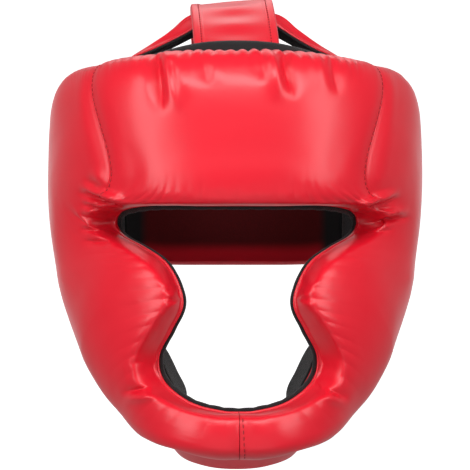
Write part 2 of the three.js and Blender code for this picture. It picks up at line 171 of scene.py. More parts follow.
# Middle lines of the straps: the crown strap and the chin strap for the +X side, from the middle out,
# and the crown tab from front to back
CROWN_STRAP = columns("x z width thickness", (
    (0, 1.25, 22, 2.5),
    (12, 0, 22, 2.6),
    (24, -5, 18, 9),
    (34, -12, 20, 8),
    (47, -20, 25, 6),
    (60, -27, 30, 3.6),
    (69, -34, 30, 2.5),
    (73.5, -46, 30, 2.5),
    (76, -60, 30, 2.5),
))
CROWN_TAB = columns("y z", (
    (-91.8, -50),
    (-88.6, -38),
    (-82, -27),
    (-50, -8),
    (-22, 3.2),
    (0, 4.1),
    (22, 2.4),
    (54, -12),
    (82, -36),
    (92, -52),
    (94.3, -63),
    (95, -76),
))
CHIN_STRAP = columns("x z", (
    (0, -251.5),
    (18, -251),
    (32, -248),
    (38, -240.5),
    (34.4, -230),
    (32, -217),
    (36.8, -206),
    (42.6, -194),
    (54.2, -176),
    (56.6, -166),
))

# Slow waves that make the gathers uneven: their size, their length in pitches and where they start
GATHER_WANDER = columns("size length start", (
    (0.9, 6.1, 0),
    (0.6, 2.3, 1.3),
), unit=1)
GATHER_UNEVENNESS = columns("size length start", (
    (0.22, 3.7, 0.5),
    (0.16, 0.71, 0),
), unit=1)

# Slow waves of the filling: how fast each runs along x, y and z, and where it starts
SWELL_WAVES = columns("x y z start", (
    (2.1, 0, 0.7, 0.4),
    (-1.1, 0.9, 1.7, 0),
    (0, 2.6, 1.3, 0),
), unit=1)

# Studio lights, which all face the middle of the object: where each stands round it and above it in
# degrees, its distance and its size in metres, and its share of the power
LIGHTS = (
    {"name": "front_right", "azimuth": -50, "elevation": 18, "distance": 1.1, "width": 0.5, "height": 1.3,
     "share": 0.4},
    {"name": "front_left", "azimuth": 50, "elevation": 22, "distance": 1.1, "width": 0.45, "height": 1.2,
     "share": 0.32},
    {"name": "above", "azimuth": 2, "elevation": 36, "distance": 1.1, "width": 0.9, "height": 0.3,
     "share": 0.34},
    {"name": "below", "azimuth": 0, "elevation": -30, "distance": 1.2, "width": 1.4, "height": 0.8,
     "share": 0.09},
    {"name": "behind", "azimuth": 180, "elevation": 45, "distance": 1.3, "width": 0.7, "height": 0.5,
     "share": 0.08},
)

# Floor, backdrop and camera
FLOOR_DROP = 1.5
FLOOR_HALF = 12.0
BACKDROP_Y = 4.6
BACKDROP_TOP = 6.0
BACKDROP_BEND = 0.5
BEND_STEPS = 24
CAMERA_HEIGHT = -0.1293
HEAD_MIDDLE = (0, 0, CAMERA_HEIGHT)
SENSOR_WIDTH = 36

# Head form: how far its curves go past the table, how they are evened out and the steps for its normals
FORM_PAST = 30 * MM
FORM_SPREAD = 9 * MM
SETTLING_REACH = 6
SETTLING_LOSS = 0.025
NORMAL_TURN = 0.01
NORMAL_RISE = 0.5 * MM

# Gap between pieces, and a length too small to see
GAP = 0.3 * MM
TINY = 0.001 * MM

# Padding: its rounds, its overhang, and where it stands forward or level at the face opening
ROUND_POWER = 2.6
ROUND_AT_OPENING = 3.5 * MM
SHOULDER = 23 * MM
SHOULDER_SHARE = 0.4
ROUND_AT_RIM = 31 * MM
ROUND_SHARE = 0.48
OVERHANG = 3 * MM
OVERHANG_REACH = 13 * MM
CHEEK_FORWARD = 0.5
CHEEK_AT = 11
CHEEK_STATIONS = 5
LEVEL_FROM = 9
LEVEL_TO = 12
LEVEL_REACH = 40 * MM

# Swells, seams, folds and gathers of the leather
SWELL = 1.3 * MM
SWELL_SIZE = 26 * MM
FREE_REACH = 14 * MM
SEAM_PINCH = 0.35
SEAM_PINCH_WIDTH = 1.2 * MM
FOLD_BLUNT = 0.35
FOLD_STARTS = (-0.1, 0.2)
FOLD_ENDS = (0.5, 1.05)
FOLD_FRONT = (10 * MM, 50 * MM)
FOLD_PADDING = 5 * MM
RIDGE_AT = 2.4
RIDGE_WIDTH = 1.7
GATHER_MIDDLE = 0.6
GATHER_SIZE = 0.62
RIM_GATHER_STATIONS = 4
RIM_GATHER_POWER = 8
RIM_GATHER_REACH = 9 * MM
OPENING_GATHER_START = 13 * MM
OPENING_GATHER_PITCH = 1.4
OPENING_GATHER_SHARE = 0.5
OPENING_GATHER_REACH = 8 * MM
EDGE_REACH = 4 * MM

# Lining
LINING_AT_OPENING = 2.6 * MM
LINING_AT_RIM = 1.6 * MM
LINING_RAGGED = 0.4 * MM
LINING_RAGGED_PITCH = 9 * MM
LINING_THINNEST = 0.1
DOME_HEIGHT = 7 * MM
DOME_STATIONS = 2.6

# Rear band
REAR_TOP = -60 * MM
REAR_BOTTOM = -147 * MM
REAR_END_BOTTOM = -138 * MM
REAR_BOTTOM_POWER = 6
REAR_THICKNESS = 8 * MM
REAR_EDGE = 2.5 * MM
REAR_ROUND = 11 * MM
REAR_FIRST_STATION = 6
REAR_LAST_STATION = 8
REAR_SLACK = 0.5 * MM
REAR_SLACK_SIZE = 14 * MM
REAR_SLACK_REACH = 12 * MM
REAR_GROOVE = 0.8 * MM
REAR_GROOVE_AT = 6 * MM
REAR_GROOVE_WIDTH = 1.2 * MM
REAR_ROLL = (4 * MM, 13 * MM)
REAR_BLACK_ENDS = (0.07, 0.13)

# Straps
STRIP_MOST_INSET = 0.97
STRAP_WORN_FROM = 0.75
STRAP_SEWN = 0.3
CROWN_LAYER = 1.25 * MM
CROWN_WIDTH = 22 * MM
CROWN_BACK_DROOP = 1.35
CROWN_PLEAT = 0.12
CROWN_PLEATS_ACROSS = 9
CROWN_PLEATS_ALONG = 14
TAB_WIDTH = 47 * MM
TAB_THICKNESS = 2.5 * MM
TAB_ROLL = 5.3 * DEGREE
TAB_LEAN = -2.8 * MM
TAB_HELD = 0.45
TAB_SLACK = 0.5 * MM
TAB_SLACK_WIDTH = 13 * MM
TAB_SLACK_FROM = (0.02, 0.2)
TAB_WAVES = 60
TAB_WAVE_START = 2
HEM_LIFT = 0.7 * MM
HEM_STEP = 0.5 * MM
HEM_GROOVE = 0.45 * MM
HEM_GROOVE_WIDTH = 0.6 * MM
HEM_STITCH_INSET = 1.2 * MM
HEM_STITCH_HEIGHT = 0.3 * MM
CHIN_STRAP_WIDTH = 27 * MM
CHIN_STRAP_THICKNESS = 2.6 * MM
CHIN_STRAP_Y = -62 * MM
CHIN_STRAP_SEWN = 0.16
CHIN_STRAP_FLARE = 0.22
CHIN_STRAP_TILT = 32 * DEGREE
CHIN_STRAP_TILT_REACH = 0.19

# Stitches, and the stations and shares between which their rows lie
STITCH_RINGS = 7
STITCH_SIDES = 6
STITCH_TIP = 0.98
STITCH_HALF_LENGTH = 0.36
STITCH_LIFT = 0.1
STITCH_ASIDE = 0.01
BROW_STITCH_INSET = 0.09
BROW_STITCH_ENDS = (0.08, 0.93)
CHIN_STITCH_INSET = 0.12
CHIN_STITCH_ENDS = (0.1, 0.9)

# How the leather is filled out
CLOTH_STEPS_PER_STATION = 6
CLOTH_ACROSS = 32
CLOTH_FRAMES = 20
CLOTH_QUALITY = 6
CLOTH_PRESSURE = 4
CLOTH_EXTRA = 0.009
CLOTH_BENDING = 70
CLOTH_PIN = 0.25
CLOTH_HELD_ROWS = 3
CLOTH_MIDDLE = 0.3
CLOTH_FULL = (0.35, 0.95)
CLOTH_CAP = 2.5 * MM
CLOTH_SMOOTHING = 2

# How finely the surfaces are cut
PAD_STEPS_PER_STATION = 34
PAD_ACROSS = 104
ROW_EVENNESS = 0.6
ACROSS_EVENNESS = 0.2
STRIP_EVENNESS = 0.3
BEAD_STEPS = 4
LINING_STEPS_PER_STATION = 20
LINING_ACROSS = 30
BAND_ALONG = 220
BAND_ACROSS = 60
STRAP_ALONG = 260
STRAP_ACROSS = 36
CURVE_SAMPLES = 2048
SEAM_SAMPLES = 200
STITCH_SAMPLES = 300
REAR_SAMPLES = 40
BLOCK = 4000


class HeadgearSizes(PropertyGroup):
    """Sizes of the leather, lining and thread."""

    edge_bead: FloatProperty(
        name="Edge bead", description="Radius of the turned edge round each panel",
        default=0.9 * MM, min=0.2 * MM, max=2 * MM, unit="LENGTH")
    seam_depth: FloatProperty(
        name="Seam depth", description="How far the stitching pulls the padding in at a seam",
        default=1.5 * MM, min=0, max=6 * MM, unit="LENGTH")
    seam_width: FloatProperty(
        name="Seam width", description="Half width of the hollow along a seam",
        default=4.5 * MM, min=1 * MM, max=12 * MM, unit="LENGTH")
    gather_height: FloatProperty(
        name="Gather height", description="Height of the small gathers along the edges",
        default=2 * MM, min=0, max=3 * MM, unit="LENGTH")
    gather_pitch: FloatProperty(
        name="Gather pitch", description="Distance from one gather to the next",
        default=5.2 * MM, min=2 * MM, max=15 * MM, unit="LENGTH")
    fold_scale: FloatProperty(
        name="Fold scale", description="Multiplies the depth of every fold",
        default=1.6, min=0, max=2, subtype="FACTOR")
    lining_thickness: FloatProperty(
        name="Lining thickness", description="Thickness of the cloth lining",
        default=2 * MM, min=1 * MM, max=3 * MM, unit="LENGTH")
    hem_width: FloatProperty(
        name="Hem width", description="Width of the folded edges of the crown tab",
        default=5.6 * MM, min=2 * MM, max=12 * MM, unit="LENGTH")
    stitch_pitch: FloatProperty(
        name="Stitch pitch", description="Distance from one stitch to the next",
        default=3.2 * MM, min=1.5 * MM, max=8 * MM, unit="LENGTH")
    thread_width: FloatProperty(
        name="Thread width", description="Thickness of the sewing thread",
        default=0.7 * MM, min=0.3 * MM, max=1.5 * MM, unit="LENGTH")


class HeadgearColours(PropertyGroup):
    """Colours of the finishes, in linear light."""

    leather: FloatVectorProperty(
        name="Leather", description="Colour of the coated leather",
        default=(0.72, 0.006, 0.021), min=0, max=1, size=3, subtype="COLOR")
    # Dark red painted shade: the shadow inside the rear band, painted onto its inner face
    painted_band_shade: FloatVectorProperty(
        name="Band inside", description="Colour of the rear band's inner face",
        default=(0.075, 0.0008, 0.002), min=0, max=1, size=3, subtype="COLOR")
    lining: FloatVectorProperty(
        name="Lining", description="Colour of the lining cloth",
        default=(0.011, 0.011, 0.012), min=0, max=1, size=3, subtype="COLOR")
    thread: FloatVectorProperty(
        name="Thread", description="Colour of the sewing thread",
        default=(0.36, 0.006, 0.012), min=0, max=1, size=3, subtype="COLOR")
    floor: FloatVectorProperty(
        name="Floor", description="Colour of the floor and backdrop",
        default=(0.8, 0.8, 0.8), min=0, max=1, size=3, subtype="COLOR")


class HeadgearStudio(PropertyGroup):
    """Camera and lights."""

    camera_distance: FloatProperty(
        name="Camera distance", description="Distance from the camera to the origin's vertical",
        default=1.2, min=0.3, max=5, unit="LENGTH")
    camera_height: FloatProperty(
        name="Camera height", description="Height of the camera, which looks straight ahead",
        default=CAMERA_HEIGHT, min=-1, max=1, unit="LENGTH")
    camera_turn: FloatProperty(
        name="Camera turn", description="Turn of the camera round the object",
        default=-1.0 * DEGREE, min=-math.pi, max=math.pi, unit="ROTATION")
    view_width: FloatProperty(
        name="View width", description="Width of the picture at the origin",
        default=0.2754, min=0.05, max=2, unit="LENGTH")
    light_power: FloatProperty(
        name="Light power", description="Power of all the studio lights together",
        default=18.4, min=0, max=500, unit="POWER")
    fill_strength: FloatProperty(
        name="Fill strength", description="Strength of the white light from all round",
        default=0.3, min=0, max=5)


# Curves and the head form


def bell(distance, width):
    """A bump: 1 at no distance, fading to 0 as exp(-(distance / width) squared)."""
    return np.exp(-((distance / width) ** 2))


def between(start, end, share):
    """The point at a share of the way from start to end."""
    return start + (end - start) * share


def ease(value, low, high):
    """0 below low and 1 above high, with a smooth cubic step between them."""
    share = np.clip((value - low) / (high - low), 0, 1)
    return share * share * (3 - 2 * share)


def unit(vectors):
    """The vectors at length 1."""
    return vectors / np.linalg.norm(vectors, axis=-1, keepdims=True)


def quarter_round(distance, radius):
    """A rounded edge's height, sqrt(1 - left**power): 0 at the edge and 1 from the radius on.

    A quarter circle has left**2. The higher power lets the curve die away smoothly at the radius.
    """
    left = 1 - np.minimum(distance / radius, 1)
    return np.sqrt(1 - left**ROUND_POWER)


def towards_ends(count, evenness):
    """Shares from 0 to 1 that lie closer together at both ends: half a cosine mixed with even steps."""
    even = np.linspace(0, 1, count)
    return between((1 - np.cos(np.pi * even)) / 2, even, evenness)


def smooth(at, value):
    """A cubic through the rows, straight past the ends. A row's slope is that between its neighbours."""
    order = np.argsort(at)
    at, value = at[order], value[order]
    row = np.arange(len(at))
    before, after = np.maximum(row - 1, 0), np.minimum(row + 1, len(at) - 1)
    slope = (value[after] - value[before]) / (at[after] - at[before])

    def curve(x):
        i = np.clip(np.searchsorted(at, x, side="right") - 1, 0, len(at) - 2)
        span = at[i + 1] - at[i]
        t = np.clip((x - at[i]) / span, 0, 1)
        rise = t * t * (3 - 2 * t)
        lean = slope[i] * t * (1 - t) ** 2 - slope[i + 1] * t * t * (1 - t)
        past = np.minimum(x - at[0], 0) * slope[0] + np.maximum(x - at[-1], 0) * slope[-1]
        return value[i] * (1 - rise) + value[i + 1] * rise + span * lean + past

    return curve


def settled(curve, low, high, spread):
    """A curve evened out by a bell of the given spread, so that its bends have no sudden ends.

    The bell acts on the curve's departure from a straight line, and the ends, where it has too few
    neighbours, are left out.
    """
    past = SETTLING_REACH * spread
    at = np.linspace(low - past, high + past, 2 * CURVE_SAMPLES)
    kernel = bell(at - (at[0] + at[-1]) / 2, spread)
    rest = curve(low) + (curve(high) - curve(low)) * (at - low) / (high - low)
    even = np.convolve(curve(at) - rest, kernel / kernel.sum(), mode="same")
    left_out = int(SETTLING_LOSS * len(at))
    inside = slice(left_out, -left_out)
    return lambda x: np.interp(x, at[inside], (even + rest)[inside])


def cubic(p0, p1, p2, p3, t):
    """Catmull-Rom between p1 and p2: a cubic whose end slopes are half of p2 - p0 and of p3 - p1."""
    lead, follow = (p2 - p0) / 2, (p3 - p1) / 2
    square = -3 * p1 + 3 * p2 - 2 * lead - follow
    cube = 2 * p1 - 2 * p2 + lead + follow
    return p1 + lead * t + square * t**2 + cube * t**3


def closed_track(points):
    """A closed Catmull-Rom curve whose points lie one station apart."""

    def at(station):
        i = np.floor(station).astype(int)
        near = [points[(i + k) % len(points)] for k in (-1, 0, 1, 2)]
        return cubic(*near, (station - i)[..., None])

    return at


def spread_out(values, count):
    """Rows of values carried onto more rows by Catmull-Rom curves."""
    padded = np.concatenate([2 * values[:1] - values[1:2], values, 2 * values[-1:] - values[-2:-1]])
    at = np.linspace(0, len(values) - 1, count)
    i = np.minimum(at.astype(int), len(values) - 2)
    share = (at - i).reshape(-1, *[1] * (values.ndim - 1))
    return cubic(*(padded[i + k] for k in range(4)), share)


def lengths(line):
    """The length along a line of points, up to each of them."""
    return np.concatenate([[0], np.cumsum(np.linalg.norm(np.diff(line, axis=0), axis=1))])


def read_at(wanted, length, values):
    """Rows of values read at the wanted lengths along their line, straight from row to row."""
    return np.stack([np.interp(wanted, length, column) for column in values.T], -1)


def open_path(points, count):
    """Points at equal lengths along an open Catmull-Rom curve, and their unit tangents."""
    line = spread_out(points, CURVE_SAMPLES)
    length = lengths(line)
    path = read_at(np.linspace(0, length[-1], count), length, line)
    return path, unit(np.gradient(path, axis=0))


def head_curve(column):
    """A column of the head form against the height, evened out."""
    low, high = HEAD["z"].min() - FORM_PAST, HEAD["z"].max() + FORM_PAST
    return settled(smooth(HEAD["z"], HEAD[column]), low, high, FORM_SPREAD)


half_width = head_curve("half_width")
centre_y = head_curve("centre_y")
half_depth = head_curve("half_depth")


def form_point(angle, z):
    """A point of the head form: an ellipse at each height, by its angle from the front."""
    x = half_width(z) * np.sin(angle)
    y = centre_y(z) - half_depth(z) * np.cos(angle)
    return np.stack(np.broadcast_arrays(x, y, z), -1)


def form_normal(angle, z):
    """The form's outward normal, from short steps round it and up it."""
    along = form_point(angle + NORMAL_TURN, z) - form_point(angle - NORMAL_TURN, z)
    up = form_point(angle, z + NORMAL_RISE) - form_point(angle, z - NORMAL_RISE)
    return unit(np.cross(along, up))


def form_angle(point):
    """The angle at which a point lies round the form."""
    z = point[..., 2]
    return np.arctan2(point[..., 0] / half_width(z), (centre_y(z) - point[..., 1]) / half_depth(z))


def on_form(point, offset):
    """A point pushed out to the form at its own height, then along the normal by an offset."""
    angle, z = form_angle(point), point[..., 2]
    return form_point(angle, z) + form_normal(angle, z) * np.asarray(offset)[..., None]


def ring_rows(column, mirror=1):
    """A column of the stations for the whole ring: the -X side repeats the +X side, times mirror."""
    half = STATIONS[column]
    return np.concatenate([half, mirror * half[-2:0:-1]])


opening_track = closed_track(np.stack([ring_rows("open_x", -1), ring_rows("open_z")], -1))
padding_track = closed_track(np.stack([ring_rows("padding"), ring_rows("rim_padding")], -1))
rim_track = closed_track(form_point(ring_rows("rim_angle", -1), ring_rows("rim_z")))


def opening_point(station):
    """A point of the face opening's edge, on the form."""
    x, z = np.moveaxis(opening_track(station), -1, 0)
    return form_point(np.arcsin(np.clip(x / half_width(z), -1, 1)), z)


def rim_point(station):
    """A point of the outer rim, on the form."""
    return on_form(rim_track(station), 0.0)


def chord_point(station, share):
    """A share of the chord from opening to rim. Near the brow seams the chords bow to the middle.

    The bow is (1 - share squared) * (1 - exp(-share / onset)), in stations.
    """
    from_brow = np.where(station > CHIN, station - RING, station)
    away = np.abs(from_brow)
    near_seam = bell(away - BROW_SEAM, SEAM_BOW_REACH) * ease(away, 0, SEAM_BOW_FROM)
    within = np.clip(share, 0, 1)
    bow = (1 - within**2) * (1 - np.exp(-within / SEAM_BOW_ONSET))
    bowed = station - np.sign(from_brow) * SEAM_BOW * near_seam * bow
    return between(opening_point(bowed), rim_point(bowed), share[..., None])


def grid(rows, across):
    """Two parameters on a grid, as a pair of arrays."""
    return np.meshgrid(rows, across, indexing="ij")


ring_stations = np.linspace(0, RING, CURVE_SAMPLES)
opening_line = opening_point(ring_stations)
upper_edge = opening_point(np.linspace(-CHEEK_TIP, CHEEK_TIP, CURVE_SAMPLES // 2))
lower_edge = opening_point(np.linspace(CHEEK_TIP, RING - CHEEK_TIP, CURVE_SAMPLES // 2))
rim_line = rim_point(ring_stations)
seam_shares = np.linspace(0, 1, SEAM_SAMPLES)
seam_lines = [
    on_form(chord_point(np.full(SEAM_SAMPLES, float(station)), seam_shares), 0.0)
    for station in (BROW_SEAM, CHIN, RING - BROW_SEAM)
]


def line_length(line, station):
    """The length along a ring line from the middle of the brow to a station, negative before it."""
    length = lengths(line)
    turns = np.floor(station / RING)
    return turns * length[-1] + np.interp(station - turns * RING, ring_stations, length)


def distance_to(line, points):
    """The distance from each point to a line of samples, measured to its short straight pieces."""
    found = []
    flat = points.reshape(-1, 3)
    squares = (line**2).sum(1)
    for block in np.array_split(flat, max(len(flat) // BLOCK, 1)):
        nearest = (squares - 2 * block @ line.T).argmin(1)
        near = []
        for step in (-1, 0):
            first = np.clip(nearest + step, 0, len(line) - 2)
            start = line[first]
            run = line[first + 1] - start
            share = np.clip(((block - start) * run).sum(1) / (run**2).sum(1), 0, 1)
            near.append(np.linalg.norm(block - start - run * share[:, None], axis=1))
        found.append(np.minimum(*near))
    return np.concatenate(found).reshape(points.shape[:-1])


def distance_to_opening(points):
    """The distance to the face opening's edge, with no crease on the cheek between its two lengths.

    Where the upper and the lower length are about as near, a smooth minimum blends the two distances.
    """
    upper, lower = distance_to(upper_edge, points), distance_to(lower_edge, points)
    blend = CHEEK_BLEND * (upper + lower) / 2 + TINY
    share = np.clip(0.5 + (lower - upper) / (2 * blend), 0, 1)
    return np.maximum(between(lower, upper, share) - blend * share * (1 - share), 0)


def waves(at, table):
    """A sum of sines, size * sin(at / length + start), one for each row of a table."""
    return sum(size * np.sin(at / length + start) for size, length, start in zip(*table.values()))


def gathers(length, pitch):
    """Small gathers along an edge: round humps between sharp dips, |sin|, whose pitch and size wander."""
    at = length / pitch
    hump = np.abs(np.sin(np.pi * at + waves(at, GATHER_WANDER)))
    return (hump - GATHER_MIDDLE) * (GATHER_SIZE + waves(at, GATHER_UNEVENNESS))


def swells(points, size):
    """Broad uneven swelling of the filling: the mean of slow sine waves through space."""
    rates = np.stack([SWELL_WAVES[axis] for axis in "xyz"])
    return np.sin(points / size @ rates + SWELL_WAVES["start"]).mean(-1)


def folds(points, scale):
    """Height of the folds at points seen from the front: a sharp valley beside a lower, rounder ridge.

    At a distance e aside of a fold the valley is exp((blunt - hypot(e, blunt)) / width), and the ridge is
    a bell beside it. Along it the fold is deepest in its first half, and fades to both ends.
    """
    x, z = points[..., 0], points[..., 2]
    front = ease(-points[..., 1], *FOLD_FRONT)
    height = np.zeros(x.shape)
    for start_x, start_z, to_x, to_z, depth, width, ridge in zip(*FOLDS.values()):
        length = math.hypot(to_x - start_x, to_z - start_z)
        run_x, run_z = (to_x - start_x) / length, (to_z - start_z) / length
        along = ((x - start_x) * run_x + (z - start_z) * run_z) / length
        aside = run_x * (z - start_z) - run_z * (x - start_x)
        fade = ease(along, *FOLD_STARTS) * (1 - ease(along, *FOLD_ENDS))
        blunt = FOLD_BLUNT * width
        valley = np.exp((blunt - np.hypot(aside, blunt)) / width)
        beside = bell(aside - np.sign(ridge) * RIDGE_AT * width, RIDGE_WIDTH * width)
        height += depth * fade * (abs(ridge) * beside - valley)
    return height * front * scale


# Meshes


def loft(sections, closed=False):
    """Quads through sections that are loops: round each loop, section by section, with ladder ends.

    A loop's second half faces its first half point by point, so an end is closed by its rungs.
    """
    rows, count = sections.shape[:2]
    index = np.arange(rows * count).reshape(rows, count)
    after = np.roll(index, -1, axis=0) if closed else index[1:]
    here = index if closed else index[:-1]
    faces = [np.stack([here, after, np.roll(after, -1, 1), np.roll(here, -1, 1)], -1).reshape(-1, 4)]
    if not closed:
        rung = np.arange(count // 2 - 1)
        ladder = np.stack([rung, rung + 1, count - 2 - rung, count - 1 - rung], -1)
        faces += [ladder, index[-1][ladder][:, ::-1]]
    return sections.reshape(-1, 3), np.concatenate(faces)


def facing_out(points, faces):
    """The faces, turned round if the volume that they enclose is negative."""
    a, b, c, d = (points[faces[:, k]] for k in range(4))
    volume = (a * np.cross(b, c)).sum() + (a * np.cross(c, d)).sum()
    return faces if volume > 0 else faces[:, ::-1]


def facing_away(points, faces):
    """The faces of an open sheet, turned round if they face the middle of the head."""
    a, b, c = (points.reshape(-1, 3)[faces[:, k]] for k in range(3))
    outward = (np.cross(b - a, c - a) * (a - HEAD_MIDDLE)).sum()
    return faces if outward > 0 else faces[:, ::-1]


def make_piece(name, points, faces, material, slot, **attributes):
    """A smooth mesh object at the origin from arrays, with point attributes and its frame body."""
    mesh = bpy.data.meshes.new(name)
    faces = facing_out(points, faces)
    mesh.vertices.add(len(points))
    mesh.vertices.foreach_set("co", points.astype(np.float32).ravel())
    mesh.loops.add(faces.size)
    mesh.loops.foreach_set("vertex_index", faces.astype(np.int32).ravel())
    mesh.polygons.add(len(faces))
    mesh.polygons.foreach_set("loop_start", np.arange(0, faces.size, 4, dtype=np.int32))
    mesh.polygons.foreach_set("use_smooth", np.ones(len(faces), bool))
    mesh.update(calc_edges=True)
    if mesh.validate():
        raise RuntimeError(f"{name} has faces that are not valid")
    for key, values in attributes.items():
        if values.ndim > 1 and values.shape[-1] == 2:
            layer = mesh.attributes.new(key, "FLOAT2", "POINT")
            layer.data.foreach_set("vector", values.astype(np.float32).ravel())
        else:
            layer = mesh.attributes.new(key, "FLOAT", "POINT")
            layer.data.foreach_set("value", values.astype(np.float32).ravel())
    mesh.materials.append(material)
    piece = bpy.data.objects.new(name, mesh)
    bpy.context.scene.collection.objects.link(piece)
    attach(piece, BODY)
    return piece


# Padded panels


def over_form(chord, height, level, forward):
    """A point at a height over the form, square to it.

    The share level takes away its step up or down, and the share forward its step sideways.
    """
    point = on_form(chord, height)
    step = point - on_form(chord, 0.0)
    point[..., 2] -= level * step[..., 2]
    point[..., 0] -= forward * step[..., 0]
    return point


def pad_rounding(from_opening, from_rim):
    """The share of the padding that is left near its edges, from quarter rounds.

    At the opening a small round is mixed with a wide shoulder. No round is wider than a share of the way
    from one edge to the other.
    """
    widest = ROUND_SHARE * (from_opening + from_rim)
    edge = quarter_round(from_opening, ROUND_AT_OPENING)
    shoulder = quarter_round(from_opening, np.minimum(SHOULDER, widest))
    at_rim = quarter_round(from_rim, np.minimum(ROUND_AT_RIM, widest))
    return between(edge, shoulder, SHOULDER_SHARE) * at_rim


def pad_point(station, share, sizes):
    """The outer face of a panel: the form pushed out by padding that is rounded to both edges.

    Height = bead + (padding - seam hollow) * rounding + swells + folds + edge gathers. Near the face
    opening the padding stands level, turns to the front on the cheeks, and hangs over the edge.
    Returns the points, the points of their chords, and their closeness to an edge or seam.
    """
    from_middle = np.minimum(station % RING, RING - station % RING)
    rim_wave = gathers(line_length(rim_line, station), sizes.gather_pitch)
    rim_wave *= bell(from_middle, RIM_GATHER_STATIONS)
    opening_length = line_length(opening_line, station) + OPENING_GATHER_START
    opening_wave = gathers(opening_length, OPENING_GATHER_PITCH * sizes.gather_pitch)
    chord_length = np.linalg.norm(opening_point(station) - rim_point(station), axis=-1)
    gathered = share + sizes.gather_height * rim_wave / chord_length * share**RIM_GATHER_POWER

    foot = on_form(chord_point(station, share), 0.0)
    from_opening = distance_to_opening(foot) * (share > 0)
    from_rim = distance_to(rim_line, foot) * (share < 1)
    from_edge = np.minimum(from_opening, from_rim)
    from_seam = np.min([distance_to(line, foot) for line in seam_lines], axis=0)
    rounding = pad_rounding(from_opening, from_rim)
    pinch = bell(from_seam, sizes.seam_width) + SEAM_PINCH * bell(from_seam, SEAM_PINCH_WIDTH)
    at_opening, at_rim = np.moveaxis(padding_track(station), -1, 0)
    height = np.maximum(between(at_opening, at_rim, share) - sizes.seam_depth * pinch, 0) * rounding
    free = quarter_round(from_edge, FREE_REACH)
    height += SWELL * swells(foot, SWELL_SIZE) * free * ease(from_seam, 0, FREE_REACH)

    near = 1 - ease(from_opening, 0, LEVEL_REACH)
    level = (1 - ease(from_middle, LEVEL_FROM, LEVEL_TO)) * near
    forward = CHEEK_FORWARD * bell(from_middle - CHEEK_AT, CHEEK_STATIONS) * near
    overhang = OVERHANG * rounding * (1 - ease(from_opening, 0, OVERHANG_REACH))
    over = chord_point(station, gathered - overhang / chord_length)
    bead = GAP + 2 * sizes.edge_bead
    smooth_top = over_form(over, bead + height, level, forward)
    height += folds(smooth_top, sizes.fold_scale) * np.minimum(height / FOLD_PADDING, 1)
    height += sizes.gather_height * rim_wave * bell(from_rim, RIM_GATHER_REACH) * free
    opening_wave *= OPENING_GATHER_SHARE * sizes.gather_height
    height += opening_wave * bell(from_opening, OPENING_GATHER_REACH) * free
    top = over_form(over, bead + np.maximum(height, 0), level, forward)
    return top, chord_point(station, gathered), bell(np.minimum(from_edge, from_seam), EDGE_REACH)


def filled_out(points, held):
    """How a sheet of leather moves when the padding presses on it: Blender's cloth, run and read back.

    The cloth is cut larger than the sheet, so it puckers where its edges are held. Weak pins keep the
    rest near its place, and no point moves further than the cap.
    """
    scene = bpy.context.scene
    index = np.arange(held.size).reshape(held.shape)
    quads = np.stack([index[:-1, :-1], index[1:, :-1], index[1:, 1:], index[:-1, 1:]], -1).reshape(-1, 4)
    mesh = bpy.data.meshes.new("leather_sheet")
    mesh.from_pydata(points.reshape(-1, 3).tolist(), [], facing_away(points, quads).tolist())
    sheet = bpy.data.objects.new("leather_sheet", mesh)
    scene.collection.objects.link(sheet)
    pins = sheet.vertex_groups.new(name="held")
    for weight in np.unique(held):
        pins.add(np.flatnonzero(held.ravel() == weight).tolist(), float(weight), "REPLACE")
    cloth = sheet.modifiers.new("cloth", "CLOTH")
    cloth.settings.quality = CLOTH_QUALITY
    cloth.settings.vertex_group_mass = "held"
    cloth.settings.use_pressure = True
    cloth.settings.uniform_pressure_force = CLOTH_PRESSURE
    cloth.settings.shrink_min = -CLOTH_EXTRA
    cloth.settings.bending_stiffness = CLOTH_BENDING
    cloth.settings.effector_weights.gravity = 0
    cloth.collision_settings.use_collision = False
    for step in range(1, CLOTH_FRAMES + 1):
        scene.frame_set(step)
    moved = np.empty(points.size, np.float32)
    sheet.evaluated_get(bpy.context.evaluated_depsgraph_get()).data.vertices.foreach_get("co", moved)
    bpy.data.objects.remove(sheet)
    bpy.data.meshes.remove(mesh)
    scene.frame_set(1)
    move = moved.reshape(points.shape) - points
    length = np.linalg.norm(move, axis=-1, keepdims=True)
    return move * CLOTH_CAP / np.maximum(length, CLOTH_CAP)


def pad_filling(first, last, rows, across, sizes):
    """How the leather of a panel is filled out, simulated on a coarse grid and spread on a fine one.

    The moves are calmed in the middle of the panel and smoothed along it by quarters, 1 2 1.
    """
    coarse_rows = int(CLOTH_STEPS_PER_STATION * (last - first))
    stations = between(first, last, towards_ends(coarse_rows, ROW_EVENNESS))
    station, share = grid(stations, towards_ends(CLOTH_ACROSS, ACROSS_EVENNESS))
    held = np.full(station.shape, CLOTH_PIN)
    held[:CLOTH_HELD_ROWS] = 1
    held[-CLOTH_HELD_ROWS:] = 1
    held[:, [0, -1]] = 1
    calm = between(CLOTH_MIDDLE, 1, ease(np.abs(2 * share - 1), *CLOTH_FULL))
    move = filled_out(pad_point(station, share, sizes)[0], held) * calm[..., None]
    for _ in range(CLOTH_SMOOTHING):
        move[1:-1] = (move[:-2] + 2 * move[1:-1] + move[2:]) / 4
    return spread_out(spread_out(move, rows).swapaxes(0, 1), across).swapaxes(0, 1)


